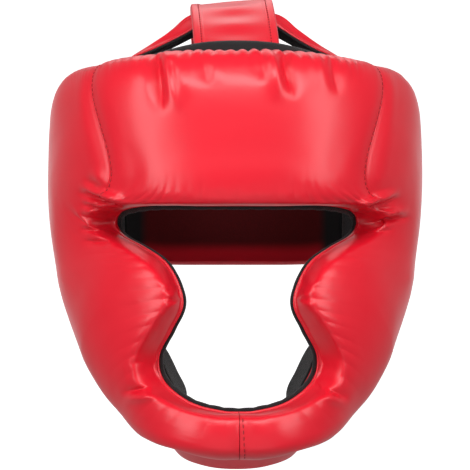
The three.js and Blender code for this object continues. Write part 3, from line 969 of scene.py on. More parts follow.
def pad_sections(stations, shares, sizes, filling):
    """Loops round a panel: its inner face from opening to rim, then back over the leather.

    Each edge is a bead, half a circle that stands out past the edge; its lower quarter belongs to the
    inner face and its upper quarter to the leather.
    """
    station, share = grid(stations, shares)
    top, chord, closeness = pad_point(station, share, sizes)
    top += filling
    bead = sizes.edge_bead
    inner = on_form(chord, GAP)
    turn = np.linspace(0, math.pi / 2, BEAD_STEPS, endpoint=False)
    at_edges = []
    for edge, step in ((0, 1), (-1, -2)):
        centre = (inner[:, edge] + top[:, edge])[:, None] / 2
        up = unit(top[:, edge] - inner[:, edge])[:, None]
        out = unit(inner[:, edge] - inner[:, step])[:, None]
        rows = [
            centre + bead * (np.cos(turn)[:, None] * out + side * np.sin(turn)[:, None] * up)
            for side in (-1, 1)
        ]
        at_edges.append(rows)
    (low_start, high_start), (low_end, high_end) = at_edges
    under = np.concatenate([low_start, inner, low_end[:, ::-1]], 1)
    over = np.concatenate([high_start, top, high_end[:, ::-1]], 1)
    ends = np.ones((len(stations), BEAD_STEPS))
    close = np.concatenate([ends, closeness, ends], 1)
    return np.concatenate([under, over[:, ::-1]], 1), np.concatenate([close, close[:, ::-1]], 1)


def make_pad(name, first, last, sizes, material):
    """One padded panel between two seams, which the stitching pulls together."""
    rows = int(PAD_STEPS_PER_STATION * (last - first))
    stations = between(first, last, towards_ends(rows, ROW_EVENNESS))
    shares = towards_ends(PAD_ACROSS, ACROSS_EVENNESS)
    filling = pad_filling(first, last, rows, PAD_ACROSS, sizes)
    sections, closeness = pad_sections(stations, shares, sizes, filling)
    for end, step in ((0, 1), (-1, -2)):
        sections[end] += GAP / 2 * unit(sections[step] - sections[end])
    piece = make_piece(f"{name}_leather", *loft(sections), material, LEATHER_SLOT, edge=closeness)
    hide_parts(name)


class HEADGEAR_OT_pads(Operator):
    """Make the three padded leather panels"""

    bl_idname = "headgear.pads"
    bl_label = "Padded panels"

    def execute(self, context):
        for name, (first, last) in PADS.items():
            make_pad(name, first, last, context.scene.headgear_sizes, leather_finish(context))
        return {"FINISHED"}


# Lining


class HEADGEAR_OT_lining(Operator):
    """Make the black cloth inside the panels"""

    bl_idname = "headgear.lining"
    bl_label = "Lining"

    def execute(self, context):
        # The chords go a little past the opening and the rim, and further at the brow for a low dome. The
        # cloth lies inside the form, and its half thickness follows a quarter round at both edges.
        thickness = context.scene.headgear_sizes.lining_thickness
        stations = np.arange(LINING_STEPS_PER_STATION * RING) / LINING_STEPS_PER_STATION
        station, share = grid(stations, towards_ends(LINING_ACROSS, STRIP_EVENNESS))
        from_brow = np.minimum(station, RING - station)
        length = np.linalg.norm(opening_point(station) - rim_point(station), axis=-1)
        dome = DOME_HEIGHT * bell(from_brow, DOME_STATIONS)
        ragged = LINING_RAGGED * gathers(line_length(opening_line, from_brow), LINING_RAGGED_PITCH)
        low = -(LINING_AT_OPENING + ragged) / length
        high = 1 + (LINING_AT_RIM + dome) / length
        chord = chord_point(station, between(low, high, share))
        inset = np.minimum(share, 1 - share) * length
        half = thickness / 2 * np.maximum(quarter_round(inset, thickness / 2), LINING_THINNEST)
        outer = on_form(chord, half - thickness / 2)
        inner = on_form(chord, -half - thickness / 2)
        across = np.cumsum(np.linalg.norm(np.diff(outer, axis=1, prepend=outer[:, :1]), axis=2), axis=1)
        flat = np.stack([line_length(rim_line, station), across], -1)
        sections = np.concatenate([outer, inner[:, ::-1]], 1)
        weave = np.concatenate([flat, flat[:, ::-1]], 1)
        piece = make_piece("lining_cloth", *loft(sections, closed=True), lining_finish(context),
                           LINING_SLOT, weave=weave.reshape(-1, 2))
        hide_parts("lining")
        return {"FINISHED"}


# Rear band


class HEADGEAR_OT_rear_band(Operator):
    """Make the padded band round the back of the head"""

    bl_idname = "headgear.rear_band"
    bl_label = "Rear band"

    def execute(self, context):
        # Ellipses of the form between the panels' rear edges, up from a bottom that rises at both ends. The
        # outer face stands off by a thickness with quarter rounds, slow waves of slack and a groove.
        edge = rim_point(np.linspace(REAR_FIRST_STATION, REAR_LAST_STATION, REAR_SAMPLES))
        past_lining = (LINING_AT_RIM + 2 * GAP) / half_width(edge[:, 2])
        edge_angle = smooth(edge[:, 2], form_angle(edge) + past_lining)
        along, share = grid(np.linspace(0, 1, BAND_ALONG), towards_ends(BAND_ACROSS, STRIP_EVENNESS))
        bottom = between(REAR_BOTTOM, REAR_END_BOTTOM, np.abs(2 * along - 1) ** REAR_BOTTOM_POWER)
        z = between(bottom, REAR_TOP, share)
        angle = between(edge_angle(z), 2 * math.pi - edge_angle(z), along)
        height = share * (REAR_TOP - REAR_BOTTOM)
        from_edge = np.minimum(share, 1 - share) * (REAR_TOP - REAR_BOTTOM)
        thickness = between(REAR_EDGE, REAR_THICKNESS, quarter_round(from_edge, REAR_ROUND))
        place, normal = form_point(angle, z), form_normal(angle, z)
        slack = REAR_SLACK * swells(place, REAR_SLACK_SIZE) * ease(from_edge, 0, REAR_SLACK_REACH)
        groove = REAR_GROOVE * bell(from_edge - REAR_GROOVE_AT, REAR_GROOVE_WIDTH)
        lining_thickness = context.scene.headgear_sizes.lining_thickness
        outer = place + normal * (thickness + slack - groove - lining_thickness)[..., None]
        inner = place - normal * lining_thickness
        closeness = bell(from_edge, EDGE_REACH)
        lower_roll = 1 - ease(height, *REAR_ROLL)
        at_ends = 1 - ease(np.minimum(along, 1 - along), *REAR_BLACK_ENDS)
        sections = np.concatenate([inner, outer[:, ::-1]], 1)
        piece = make_piece("rear_band_leather", *loft(sections), leather_finish(context), LEATHER_SLOT,
                           edge=np.concatenate([lower_roll, closeness[:, ::-1]], 1),
                           end=np.concatenate([at_ends, at_ends], 1))
        # The inner face takes the dark red painted shade in place of lit leather
        piece.data.materials.append(painted_band_shade_finish(context))
        finish = np.ones(len(piece.data.polygons), np.int32)
        finish[:(BAND_ALONG - 1) * 2 * BAND_ACROSS].reshape(BAND_ALONG - 1, -1)[:, BAND_ACROSS:] = 0
        piece.data.polygons.foreach_set("material_index", finish)
        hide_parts("rear_band")
        return {"FINISHED"}


# Straps


def mirrored(table):
    """A table's columns for both sides, from -X to +X. Its rows start in the middle."""
    return {
        key: np.concatenate([(-1 if key == "x" else 1) * values[:0:-1], values])
        for key, values in table.items()
    }


def strip_section(width, thickness, count=STRAP_ACROSS):
    """Distances across a strip and heights over its middle, for its underside and for its top.

    The edges are half round: height = half the thickness * sqrt(1 - inset squared).
    """
    across = width[:, None] * (towards_ends(count, STRIP_EVENNESS) - 0.5)
    half = thickness / 2
    inset = np.clip((np.abs(across) - width[:, None] / 2) / half + 1, 0, STRIP_MOST_INSET)
    return across, half * np.sqrt(1 - inset**2)


def reach(distance, across, out):
    """How far an ellipse goes out at a distance along its other axis."""
    return out * np.sqrt(np.maximum(1 - (distance / across) ** 2, 0))


def side_reach(y, z):
    """How far the head form goes to the side."""
    return reach(y - centre_y(z), half_depth(z), half_width(z))


def end_reach(x, z):
    """How far the head form goes to the front and back from its centre."""
    return reach(x, half_width(z), half_depth(z))


def bend_at(along, end_share):
    """How much a strap bends to the head form: fully at its sewn ends, not at all past a share."""
    return 1 - ease(np.minimum(along, 1 - along), 0, end_share)


def make_strap(name, under, over, material, slot, width):
    """A strap from the points of its underside and of its top.

    Its attributes are the closeness to an edge, for wear, and the flat place on it, for the weave.
    """
    sections = np.concatenate([under, over[:, ::-1]], 1)
    across = np.linspace(-1, 1, under.shape[1]) * np.ones(under.shape[:2])
    length = lengths(over[:, 0])[:, None] * np.ones(under.shape[:2])
    flat = np.stack([across * width / 2, length], -1)
    closeness = ease(np.abs(across), STRAP_WORN_FROM, 1)
    return make_piece(
        name, *loft(sections), material, slot,
        edge=np.concatenate([closeness, closeness[:, ::-1]], 1),
        weave=np.concatenate([flat, flat[:, ::-1]], 1).reshape(-1, 2))


class HEADGEAR_OT_crown_strap(Operator):
    """Make the strap over the crown from side to side, leather above and cloth below"""

    bl_idname = "headgear.crown_strap"
    bl_label = "Crown strap"

    def execute(self, context):
        # A strip carried along its middle line. Where the table makes it thick it is bunched: it droops by
        # the square of the distance across, with cosine pleats. Its sewn ends bend to the head form.
        table = mirrored(CROWN_STRAP)
        middle, tangent = open_path(np.stack([table["x"], 0 * table["x"], table["z"]], -1), STRAP_ALONG)
        width = smooth(table["x"], table["width"])(middle[:, 0])
        height = smooth(table["x"], table["thickness"])(middle[:, 0])
        along = np.linspace(0, 1, STRAP_ALONG)[:, None]
        across, lift = strip_section(width, CROWN_LAYER)
        share = 2 * across / width[:, None]
        bunch = np.maximum(height - 2 * CROWN_LAYER, 0)[:, None]
        droop = bunch * share**2 * np.where(share > 0, CROWN_BACK_DROOP, 1)
        pleats = CROWN_PLEAT * bunch * np.cos(CROWN_PLEATS_ACROSS * share + CROWN_PLEATS_ALONG * along)
        arch = height[:, None] / 2 - CROWN_LAYER / 2 - droop + pleats
        z = middle[:, 2:]
        bend = bend_at(along, STRAP_SEWN) * (side_reach(across, z) - side_reach(0 * across, z))

        def place(over):
            x = middle[:, :1] - tangent[:, 2:] * over + np.sign(middle[:, :1]) * bend
            return np.stack([x, across, z + tangent[:, :1] * over], -1)

        leather = make_strap("crown_strap_leather", place(arch - lift), place(arch + lift),
                             leather_finish(context), LEATHER_SLOT, CROWN_WIDTH)
        below = arch - CROWN_LAYER
        make_strap("crown_strap_backing", place(below - lift), place(below + lift),
                   lining_finish(context), LINING_SLOT, CROWN_WIDTH)
        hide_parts("crown_strap")
        return {"FINISHED"}


def tab_place(along, across, over, middle, tangent):
    """Points of the crown tab: across it, over its middle, rolled and leaning where it is free."""
    z = middle[:, 2:]
    bend = bend_at(along, STRAP_SEWN) * (end_reach(across, z) - end_reach(0 * across, z))
    free = 1 - bend_at(along, TAB_HELD)
    x = across + free * TAB_LEAN
    y = middle[:, 1:2] - tangent[:, 2:] * over + np.sign(middle[:, 1:2]) * bend
    return np.stack([x, y, z + tangent[:, 1:2] * over + free * math.tan(TAB_ROLL) * across], -1)


def tab_path(count):
    """The middle line of the crown tab, from the brow over the crown to the back."""
    return open_path(np.stack([0 * CROWN_TAB["y"], CROWN_TAB["y"], CROWN_TAB["z"]], -1), count)


class HEADGEAR_OT_crown_tab(Operator):
    """Make the hemmed strap that stands behind the brow and goes over the crown to the back"""

    bl_idname = "headgear.crown_tab"
    bl_label = "Crown tab"

    def execute(self, context):
        # A strip carried along its middle line, with a step up at each hem, a groove under the hem's
        # stitches, and a sine wave of slack between the hems.
        hem = context.scene.headgear_sizes.hem_width
        middle, tangent = tab_path(STRAP_ALONG)
        along = np.linspace(0, 1, STRAP_ALONG)[:, None]
        width = np.full(STRAP_ALONG, TAB_WIDTH)
        across, lift = strip_section(width, TAB_THICKNESS, 2 * STRAP_ACROSS)
        from_edge = TAB_WIDTH / 2 - np.abs(across)
        fold = HEM_LIFT * (1 - ease(from_edge, hem - HEM_STEP, hem + HEM_STEP))
        groove = HEM_GROOVE * bell(from_edge - hem + HEM_STITCH_INSET, HEM_GROOVE_WIDTH)
        wave = np.sin(along * TAB_WAVES + TAB_WAVE_START) * ease(along, *TAB_SLACK_FROM)
        slack = TAB_SLACK * wave * bell(across, TAB_SLACK_WIDTH)
        top = lift + (fold - groove + slack) * ease(from_edge, 0, HEM_GROOVE_WIDTH)
        under = tab_place(along, across, -lift, middle, tangent)
        over = tab_place(along, across, top, middle, tangent)
        piece = make_strap("crown_tab_leather", under, over, leather_finish(context),
                           LEATHER_SLOT, TAB_WIDTH)
        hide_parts("crown_tab")
        return {"FINISHED"}


class HEADGEAR_OT_chin_strap(Operator):
    """Make the strap under the chin, leather outside and cloth inside"""

    bl_idname = "headgear.chin_strap"
    bl_label = "Chin strap"

    def execute(self, context):
        # A strip carried along its middle line. It flares by a sine of the way along, and a bell tilts it
        # down to the back under the chin. Its sewn ends bend to the head form.
        table = mirrored(CHIN_STRAP)
        line = np.stack([table["x"], np.full(len(table["x"]), CHIN_STRAP_Y), table["z"]], -1)
        middle, tangent = open_path(line, STRAP_ALONG)
        along = np.linspace(0, 1, STRAP_ALONG)[:, None]
        layer = CHIN_STRAP_THICKNESS / 2
        across, lift = strip_section(np.full(STRAP_ALONG, CHIN_STRAP_WIDTH), layer)
        y, z = middle[:, 1:2] + across, middle[:, 2:]
        sideways = side_reach(y, z) - side_reach(middle[:, 1:2] + 0 * across, z)
        bend = bend_at(along, CHIN_STRAP_SEWN) * sideways
        flare = CHIN_STRAP_FLARE * across * np.sin(2 * math.pi * along)
        tilt = -math.tan(CHIN_STRAP_TILT) * across * bell(along - 0.5, CHIN_STRAP_TILT_REACH)

        def place(over):
            x = middle[:, :1] - tangent[:, 2:] * over + np.sign(middle[:, :1]) * bend + flare
            return np.stack([x, y, z + tangent[:, :1] * over + tilt], -1)

        outside = make_strap("chin_strap_leather", place(-layer / 2 - lift), place(-layer / 2 + lift),
                             leather_finish(context), LEATHER_SLOT, CHIN_STRAP_WIDTH)
        make_strap("chin_strap_backing", place(layer / 2 - lift), place(layer / 2 + lift),
                   lining_finish(context), LINING_SLOT, CHIN_STRAP_WIDTH)
        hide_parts("chin_strap")
        return {"FINISHED"}


# Stitching


def stitch_row(line, normals, sizes):
    """Threads along a line of points: slim spindles, one for each pitch, half sunk in the leather.

    A spindle is a ring of points carried along, its radius sqrt(1 - along squared). The quads of its caps
    are written for rings of six points.
    """
    length = lengths(line)
    at = np.arange(sizes.stitch_pitch / 2, length[-1], sizes.stitch_pitch)
    place = read_at(at, length, line)
    up = unit(read_at(at, length, normals))
    ahead = unit(read_at(at, length, np.gradient(line, axis=0)))
    aside = np.cross(up, ahead)
    rings, sides = STITCH_RINGS, STITCH_SIDES
    share = np.linspace(-STITCH_TIP, STITCH_TIP, rings)
    turn = np.arange(sides) * 2 * math.pi / sides
    radius = sizes.thread_width / 2 * np.sqrt(1 - share**2)
    along = (STITCH_HALF_LENGTH * sizes.stitch_pitch * share)[:, None] * np.ones(sides)
    out = radius[:, None] * np.cos(turn)
    rise = radius[:, None] * np.sin(turn) + STITCH_LIFT * sizes.thread_width
    parts = [
        along[None, ..., None] * ahead[:, None, None],
        out[None, ..., None] * aside[:, None, None],
        rise[None, ..., None] * up[:, None, None],
    ]
    points = place[:, None, None] + sum(parts)
    index = np.arange(rings * sides).reshape(rings, sides)
    here, after = index[:-1], index[1:]
    around = np.stack([here, np.roll(here, -1, 1), np.roll(after, -1, 1), after], -1).reshape(-1, 4)
    ends = [[0, 1, 2, 3], [0, 3, 4, 5]]
    caps = np.array(ends + [[rings * sides - 1 - k for k in end] for end in ends])
    faces = np.concatenate([around, caps])
    every = np.arange(len(at))[:, None, None] * rings * sides + faces
    return points.reshape(-1, 3), every.reshape(-1, 4)


def make_stitches(name, rows, sizes, material):
    """Several rows of stitches joined into one piece."""
    points, faces, start = [], [], 0
    for line, normals in rows:
        row_points, row_faces = stitch_row(line, normals, sizes)
        points.append(row_points)
        faces.append(row_faces + start)
        start += len(row_points)
    make_piece(name, np.concatenate(points), np.concatenate(faces), material, LEATHER_SLOT)


def seam_row(station, sizes, low, high):
    """A row on the leather along one station, from a share low to a share high, with its normals."""
    share = np.linspace(low, high, STITCH_SAMPLES)
    stations = np.full(STITCH_SAMPLES, float(station))
    line = pad_point(stations, share, sizes)[0]
    beside = pad_point(stations + STITCH_ASIDE, share, sizes)[0]
    normals = np.cross(beside - line, np.gradient(line, axis=0))
    return line, unit(normals)


class HEADGEAR_OT_stitching(Operator):
    """Make the rows of stitches along the seams and the hems"""

    bl_idname = "headgear.stitching"
    bl_label = "Stitching"

    def execute(self, context):
        sizes, material = context.scene.headgear_sizes, thread_finish(context)
        on_brow = BROW_SEAM - BROW_STITCH_INSET
        seams = [seam_row(station, sizes, *BROW_STITCH_ENDS) for station in (on_brow, RING - on_brow)]
        make_stitches("brow_seam_stitches", seams, sizes, material)
        seam = seam_row(CHIN - CHIN_STITCH_INSET, sizes, *CHIN_STITCH_ENDS)
        make_stitches("chin_seam_stitches", [seam], sizes, material)
        middle, tangent = tab_path(STRAP_ALONG)
        along = np.linspace(0, 1, STRAP_ALONG)[:, None]
        height = TAB_THICKNESS / 2 + HEM_STITCH_HEIGHT
        hems = []
        for side in (-1, 1):
            across = side * (TAB_WIDTH / 2 - sizes.hem_width + HEM_STITCH_INSET) * np.ones(along.shape)
            line = tab_place(along, across, height, middle, tangent)[:, 0]
            above = tab_place(along, across, height + MM, middle, tangent)[:, 0]
            hems.append((line, unit(above - line)))
        make_stitches("crown_tab_stitches", hems, sizes, material)
        return {"FINISHED"}


# Finishes


def dress(tree, node, inputs):
    """Puts values and links into a node's inputs, by name or number."""
    for key, value in inputs.items():
        if isinstance(value, bpy.types.NodeSocket):
            tree.links.new(value, node.inputs[key])
        else:
            node.inputs[key].default_value = value


def add_node(tree, kind, inputs=None, **settings):
    """A shader node with its settings and its inputs."""
    node = tree.nodes.new(kind)
    for key, value in settings.items():
        setattr(node, key, value)
    dress(tree, node, inputs or {})
    return node


def noise(tree, place, scale, detail):
    """Uneven noise from 0 to 1."""
    inputs = {"Vector": place, "Scale": scale, "Detail": detail}
    return add_node(tree, "ShaderNodeTexNoise", inputs).outputs["Fac"]


def reckon(tree, operation, first, second):
    """The value that an operation makes of two others."""
    return add_node(tree, "ShaderNodeMath", {0: first, 1: second}, operation=operation).outputs[0]


def mixed(tree, factor, first, second):
    """A colour between two others, by a factor."""
    inputs = {"Factor": factor, "A": first, "B": second}
    return add_node(tree, "ShaderNodeMix", inputs, data_type="RGBA").outputs["Result"]


def ramp(tree, value, low, high):
    """A value from 0 to 1 turned into one from low to high."""
    spread = add_node(tree, "ShaderNodeMapRange", {"Value": value, "To Min": low, "To Max": high})
    return spread.outputs["Result"]


def attribute(tree, name, output="Fac"):
    """A point attribute of the piece."""
    return add_node(tree, "ShaderNodeAttribute", attribute_name=name).outputs[output]


def relief(tree, height, strength, distance):
    """A normal that a height makes uneven."""
    inputs = {"Height": height, "Strength": strength, "Distance": distance}
    return add_node(tree, "ShaderNodeBump", inputs).outputs["Normal"]


def new_group(name, inputs, outputs):
    """An empty shader node group, with its input and output nodes. Inputs give a kind and a default."""
    tree = bpy.data.node_groups.new(name, "ShaderNodeTree")
    for key, (kind, value) in inputs.items():
        socket = tree.interface.new_socket(key, in_out="INPUT", socket_type=kind)
        if value is not None:
            socket.default_value = value
    for key in outputs:
        tree.interface.new_socket(key, in_out="OUTPUT", socket_type="NodeSocketFloat")
    return tree, tree.nodes.new("NodeGroupInput").outputs, tree.nodes.new("NodeGroupOutput").inputs


def grain_group():
    """Leather grain: fine pebbles and a faint broad mottle, each from 0 to 1."""
    name = "Leather grain"
    if name in bpy.data.node_groups:
        return bpy.data.node_groups[name]
    tree, given, out = new_group(name, {
        "Place": ("NodeSocketVector", None),
        "Pebbles": ("NodeSocketFloat", 900.0),
        "Mottle": ("NodeSocketFloat", 22.0),
    }, ("Height", "Mottling"))
    pebble = add_node(tree, "ShaderNodeTexVoronoi",
                      {"Vector": given["Place"], "Scale": given["Pebbles"]}, feature="SMOOTH_F1")
    fine = noise(tree, given["Place"], scale=given["Pebbles"], detail=3.0)
    mottle = noise(tree, given["Place"], scale=given["Mottle"], detail=4.0)
    tree.links.new(reckon(tree, "ADD", pebble.outputs["Distance"], fine), out["Height"])
    tree.links.new(mottle, out["Mottling"])
    return tree


def weave_group():
    """Plain weave: two sets of threads at right angles, over and under in turn, and a faint unevenness."""
    name = "Plain weave"
    if name in bpy.data.node_groups:
        return bpy.data.node_groups[name]
    tree, given, out = new_group(name, {
        "Place": ("NodeSocketVector", None),
        "Threads": ("NodeSocketFloat", 1100.0),
    }, ("Height", "Unevenness"))
    threads = []
    for turn in (0.0, math.pi / 2):
        turned = add_node(tree, "ShaderNodeMapping", {"Vector": given["Place"], "Rotation": (0, 0, turn)})
        wave = add_node(tree, "ShaderNodeTexWave",
                        {"Vector": turned.outputs["Vector"], "Scale": given["Threads"]},
                        wave_type="BANDS", bands_direction="X", wave_profile="SIN")
        threads.append(wave.outputs["Fac"])
    tree.links.new(reckon(tree, "MAXIMUM", *threads), out["Height"])
    tree.links.new(noise(tree, given["Place"], scale=180.0, detail=4.0), out["Unevenness"])
    return tree


def rub_group():
    """Rubbed edges: a mask that is high near an edge where an uneven noise lets the rubbing through."""
    name = "Rubbed edges"
    if name in bpy.data.node_groups:
        return bpy.data.node_groups[name]
    tree, given, out = new_group(name, {
        "Place": ("NodeSocketVector", None),
        "Edge": ("NodeSocketFloat", 0.0),
    }, ("Mask",))
    patches = noise(tree, given["Place"], scale=140.0, detail=6.0)
    tree.links.new(reckon(tree, "MULTIPLY", patches, given["Edge"]), out["Mask"])
    return tree


def new_material(name):
    """A material with its tree, its shader and the object coordinates."""
    material = bpy.data.materials.new(name)
    material.use_nodes = True
    tree = material.node_tree
    shader = tree.nodes["Principled BSDF"]
    place = add_node(tree, "ShaderNodeTexCoord").outputs["Object"]
    return material, tree, shader, place


def shade(colour, factor):
    """A colour made lighter or darker, with its alpha."""
    return (*(min(part * factor, 1) for part in colour), 1)


def leather_finish(context):
    """Glossy coated leather: pebble grain, mottled colour and darker, duller rubbed edges."""
    name = "coated_red_leather"
    if name in bpy.data.materials:
        return bpy.data.materials[name]
    colour = context.scene.headgear_colours.leather
    material, tree, shader, place = new_material(name)
    grain = add_node(tree, "ShaderNodeGroup", node_tree=grain_group())
    tree.links.new(place, grain.inputs["Place"])
    rub = add_node(tree, "ShaderNodeGroup", node_tree=rub_group())
    tree.links.new(place, rub.inputs["Place"])
    tree.links.new(attribute(tree, "edge"), rub.inputs["Edge"])
    tint = mixed(tree, grain.outputs["Mottling"], shade(colour, 0.93), shade(colour, 1.06))
    rubbed = ramp(tree, rub.outputs["Mask"], low=0, high=0.35)
    dress(tree, shader, {
        "Base Color": mixed(tree, rubbed, tint, shade(colour, 0.82)),
        "Roughness": ramp(tree, rub.outputs["Mask"], low=0.32, high=0.44),
        "Normal": relief(tree, grain.outputs["Height"], strength=0.05, distance=0.3 * MM),
        "Specular IOR Level": 0.55,
    })
    return material


def painted_band_shade_finish(context):
    """The inner face of the rear band: dark red painted shade for the shadow inside the headgear, redder on
    its lower roll, where the turned-in leather shows darkened by painted shade, and black at its ends.
    """
    name = "rear_band_painted_shade"
    if name in bpy.data.materials:
        return bpy.data.materials[name]
    colours = context.scene.headgear_colours
    material, tree, shader, place = new_material(name)
    nap = noise(tree, place, scale=900.0, detail=4.0)
    # Dark red painted shade for the inside of the band, varied by the nap
    tint = mixed(tree, nap, shade(colours.painted_band_shade, 0.7), shade(colours.painted_band_shade, 1.3))
    # On the lower roll the leather shows, darkened by painted shade
    rolled = mixed(tree, attribute(tree, "edge"), tint, shade(colours.leather, 0.8))
    dress(tree, shader, {
        "Base Color": mixed(tree, attribute(tree, "end"), rolled, shade(colours.lining, 0.8)),
        "Roughness": 0.85,
        "Normal": relief(tree, nap, strength=0.3, distance=0.4 * MM),
        "Specular IOR Level": 0.2,
    })
    return material


def lining_finish(context):
    """Black woven cloth: threads on the cloth's own flat coordinates, dull, with a soft sheen."""
    name = "woven_black_cloth"
    if name in bpy.data.materials:
        return bpy.data.materials[name]
    colour = context.scene.headgear_colours.lining
    material, tree, shader, _ = new_material(name)
    weave = add_node(tree, "ShaderNodeGroup", node_tree=weave_group())
    tree.links.new(attribute(tree, "weave", "Vector"), weave.inputs["Place"])
    dress(tree, shader, {
        "Base Color": mixed(tree, weave.outputs["Height"], shade(colour, 0.5), shade(colour, 1.3)),
        "Roughness": ramp(tree, weave.outputs["Unevenness"], low=0.75, high=0.95),
        "Normal": relief(tree, weave.outputs["Height"], strength=0.5, distance=0.3 * MM),
        "Specular IOR Level": 0.25,
        "Sheen Weight": 0.15,
    })
    return material


def thread_finish(context):
    """Sewing thread: a twisted strand a little darker than the leather."""
    name = "red_thread"
    if name in bpy.data.materials:
        return bpy.data.materials[name]
    colour = context.scene.headgear_colours.thread
    material, tree, shader, place = new_material(name)
    twist = add_node(tree, "ShaderNodeTexWave", {"Vector": place, "Scale": 900.0, "Distortion": 2.0},
                     bands_direction="DIAGONAL")
    dress(tree, shader, {
        "Base Color": mixed(tree, twist.outputs["Fac"], shade(colour, 0.6), shade(colour, 1.2)),
        "Roughness": 0.7,
    })
    return material


# Stage


def add_light(row, target, power):
    """A rectangular light that faces a target from its place in the table of lights."""
    turn, rise = row["azimuth"] * DEGREE, row["elevation"] * DEGREE
    away = Vector((math.sin(turn) * math.cos(rise), -math.cos(turn) * math.cos(rise), math.sin(rise)))
    light = bpy.data.lights.new(row["name"], "AREA")
    light.shape = "RECTANGLE"
    light.size, light.size_y = row["width"], row["height"]
    light.energy = power * row["share"]
    lamp = bpy.data.objects.new(row["name"], light)
    lamp.location = target + away * row["distance"]
    lamp.rotation_euler = (-away).to_track_quat("-Z", "Y").to_euler()
    bpy.context.scene.collection.objects.link(lamp)


def backdrop_finish(colour):
    """Matt pale paint with a faint unevenness, lit by itself behind the object so that it is white there.

    The glow starts past the object and fades with the distance from its middle, sideways and up.
    """
    material, tree, shader, place = new_material("backdrop_paint")
    depth = add_node(tree, "ShaderNodeSeparateXYZ", {"Vector": place}).outputs["Y"]
    behind = add_node(tree, "ShaderNodeMapRange", {"Value": depth, "From Min": 1.5, "From Max": 4.0})
    flat = add_node(tree, "ShaderNodeMapping",
                    {"Vector": place, "Location": (0, 0, 0.29), "Scale": (1, 0, 2.2)})
    aside = add_node(tree, "ShaderNodeVectorMath", {0: flat.outputs["Vector"]}, operation="LENGTH")
    middle = add_node(tree, "ShaderNodeMapRange",
                      {"Value": aside.outputs["Value"], "From Min": 1.5, "From Max": 3.4,
                       "To Min": 1.0, "To Max": 0.05})
    cloud = add_node(tree, "ShaderNodeTexNoise", {"Vector": place, "Scale": 2.0}).outputs["Fac"]
    dress(tree, shader, {
        "Base Color": mixed(tree, cloud, shade(colour, 0.99), shade(colour, 1.01)),
        "Roughness": 1.0,
        "Specular IOR Level": 0.0,
        "Emission Color": reckon(tree, "MULTIPLY", behind.outputs["Result"], middle.outputs["Result"]),
        "Emission Strength": 0.9,
    })
    return material


def studio_fill(strength):
    """White light from all round that dims towards the back, so that edges don't glow."""
    world = bpy.data.worlds.new("studio_fill")
    world.use_nodes = True
    tree = world.node_tree
    towards = add_node(tree, "ShaderNodeTexCoord").outputs["Generated"]
    back = add_node(tree, "ShaderNodeSeparateXYZ", {"Vector": towards}).outputs["Y"]
    dimmed = add_node(tree, "ShaderNodeMapRange",
                      {"Value": back, "From Min": -0.1, "From Max": 0.6, "To Min": 1.0, "To Max": 0.3})
    tree.links.new(dimmed.outputs["Result"], tree.nodes["Background"].inputs["Color"])
    tree.nodes["Background"].inputs["Strength"].default_value = strength
    return world


def make_backdrop(context):
    """The floor and the wall behind it in one sheet: a profile with a quarter circle, carried along X."""
    floor_z = CAD_BOX[0][2] - FLOOR_DROP
    turn = np.linspace(0, math.pi / 2, BEND_STEPS)
    bend_y = BACKDROP_Y - BACKDROP_BEND + BACKDROP_BEND * np.sin(turn)
    bend_z = floor_z + BACKDROP_BEND - BACKDROP_BEND * np.cos(turn)
    y = np.concatenate([[-FLOOR_HALF], bend_y, [BACKDROP_Y]])
    z = np.concatenate([[floor_z], bend_z, [BACKDROP_TOP]])
    x = np.array([-FLOOR_HALF, FLOOR_HALF])
    points = np.stack(np.broadcast_arrays(x, y[:, None], z[:, None]), -1)
    index = np.arange(2 * len(y)).reshape(-1, 2)
    faces = np.stack([index[:-1, 0], index[:-1, 1], index[1:, 1], index[1:, 0]], -1)
    mesh = bpy.data.meshes.new("floor_and_backdrop")
    mesh.from_pydata(points.reshape(-1, 3).tolist(), [], faces.tolist())
    mesh.polygons.foreach_set("use_smooth", np.ones(len(faces), bool))
    mesh.materials.append(backdrop_finish(context.scene.headgear_colours.floor))
    sweep = bpy.data.objects.new("floor_and_backdrop", mesh)
    context.scene.collection.objects.link(sweep)


def make_camera(context):
    """The camera, level, at its distance from the origin and turned round it."""
    studio = context.scene.headgear_studio
    camera = bpy.data.cameras.new("camera")
    camera.sensor_width = SENSOR_WIDTH
    camera.lens = SENSOR_WIDTH * studio.camera_distance / studio.view_width
    eye = bpy.data.objects.new("camera", camera)
    back = Vector((math.sin(studio.camera_turn), -math.cos(studio.camera_turn), 0))
    eye.location = back * studio.camera_distance + Vector((0, 0, studio.camera_height))
    eye.rotation_euler = (-back).to_track_quat("-Z", "Y").to_euler()
    context.scene.collection.objects.link(eye)
    context.scene.camera = eye


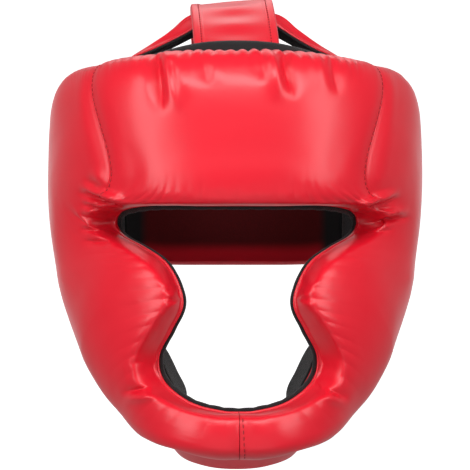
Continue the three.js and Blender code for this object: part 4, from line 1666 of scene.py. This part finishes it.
class HEADGEAR_OT_stage(Operator):
    """Make the floor with its backdrop, the lights and the camera"""

    bl_idname = "headgear.stage"
    bl_label = "Studio"

    def execute(self, context):
        scene = context.scene
        studio = scene.headgear_studio
        make_backdrop(context)
        scene.world = studio_fill(studio.fill_strength)
        for row in LIGHTS:
            add_light(row, Vector((0, 0, studio.camera_height)), studio.light_power)
        make_camera(context)
        scene.view_settings.view_transform = "Standard"
        return {"FINISHED"}


class HEADGEAR_PT_panel(Panel):
    """Sidebar panel with the sizes, colours and pieces"""

    bl_label = "Boxing Headgear"
    bl_idname = "HEADGEAR_PT_panel"
    bl_space_type = "VIEW_3D"
    bl_region_type = "UI"
    bl_category = "Headgear"

    def draw(self, context):
        layout = self.layout
        for step in STEPS:
            layout.operator(step.bl_idname)
        for group in (context.scene.headgear_sizes, context.scene.headgear_colours,
                      context.scene.headgear_studio):
            box = layout.box()
            for key in group.__annotations__:
                box.prop(group, key)


GROUPS = {
    "headgear_sizes": HeadgearSizes,
    "headgear_colours": HeadgearColours,
    "headgear_studio": HeadgearStudio,
}
STEPS = (
    HEADGEAR_OT_pads,
    HEADGEAR_OT_lining,
    HEADGEAR_OT_rear_band,
    HEADGEAR_OT_crown_strap,
    HEADGEAR_OT_crown_tab,
    HEADGEAR_OT_chin_strap,
    HEADGEAR_OT_stitching,
    HEADGEAR_OT_stage,
)


def register():
    """Registers the classes and gives the scene its groups of properties."""
    for each in (*GROUPS.values(), *STEPS, HEADGEAR_PT_panel):
        bpy.utils.register_class(each)
    for name, group in GROUPS.items():
        setattr(bpy.types.Scene, name, PointerProperty(type=group))


def unregister():
    """Takes the properties and classes away again."""
    for name in GROUPS:
        delattr(bpy.types.Scene, name)
    for each in (HEADGEAR_PT_panel, *STEPS[::-1], *GROUPS.values()):
        bpy.utils.unregister_class(each)


def main():
    """Makes every piece in order."""
    register()
    for step in STEPS:
        group, name = step.bl_idname.split(".")
        getattr(getattr(bpy.ops, group), name)()


if __name__ == "__main__":
    main()
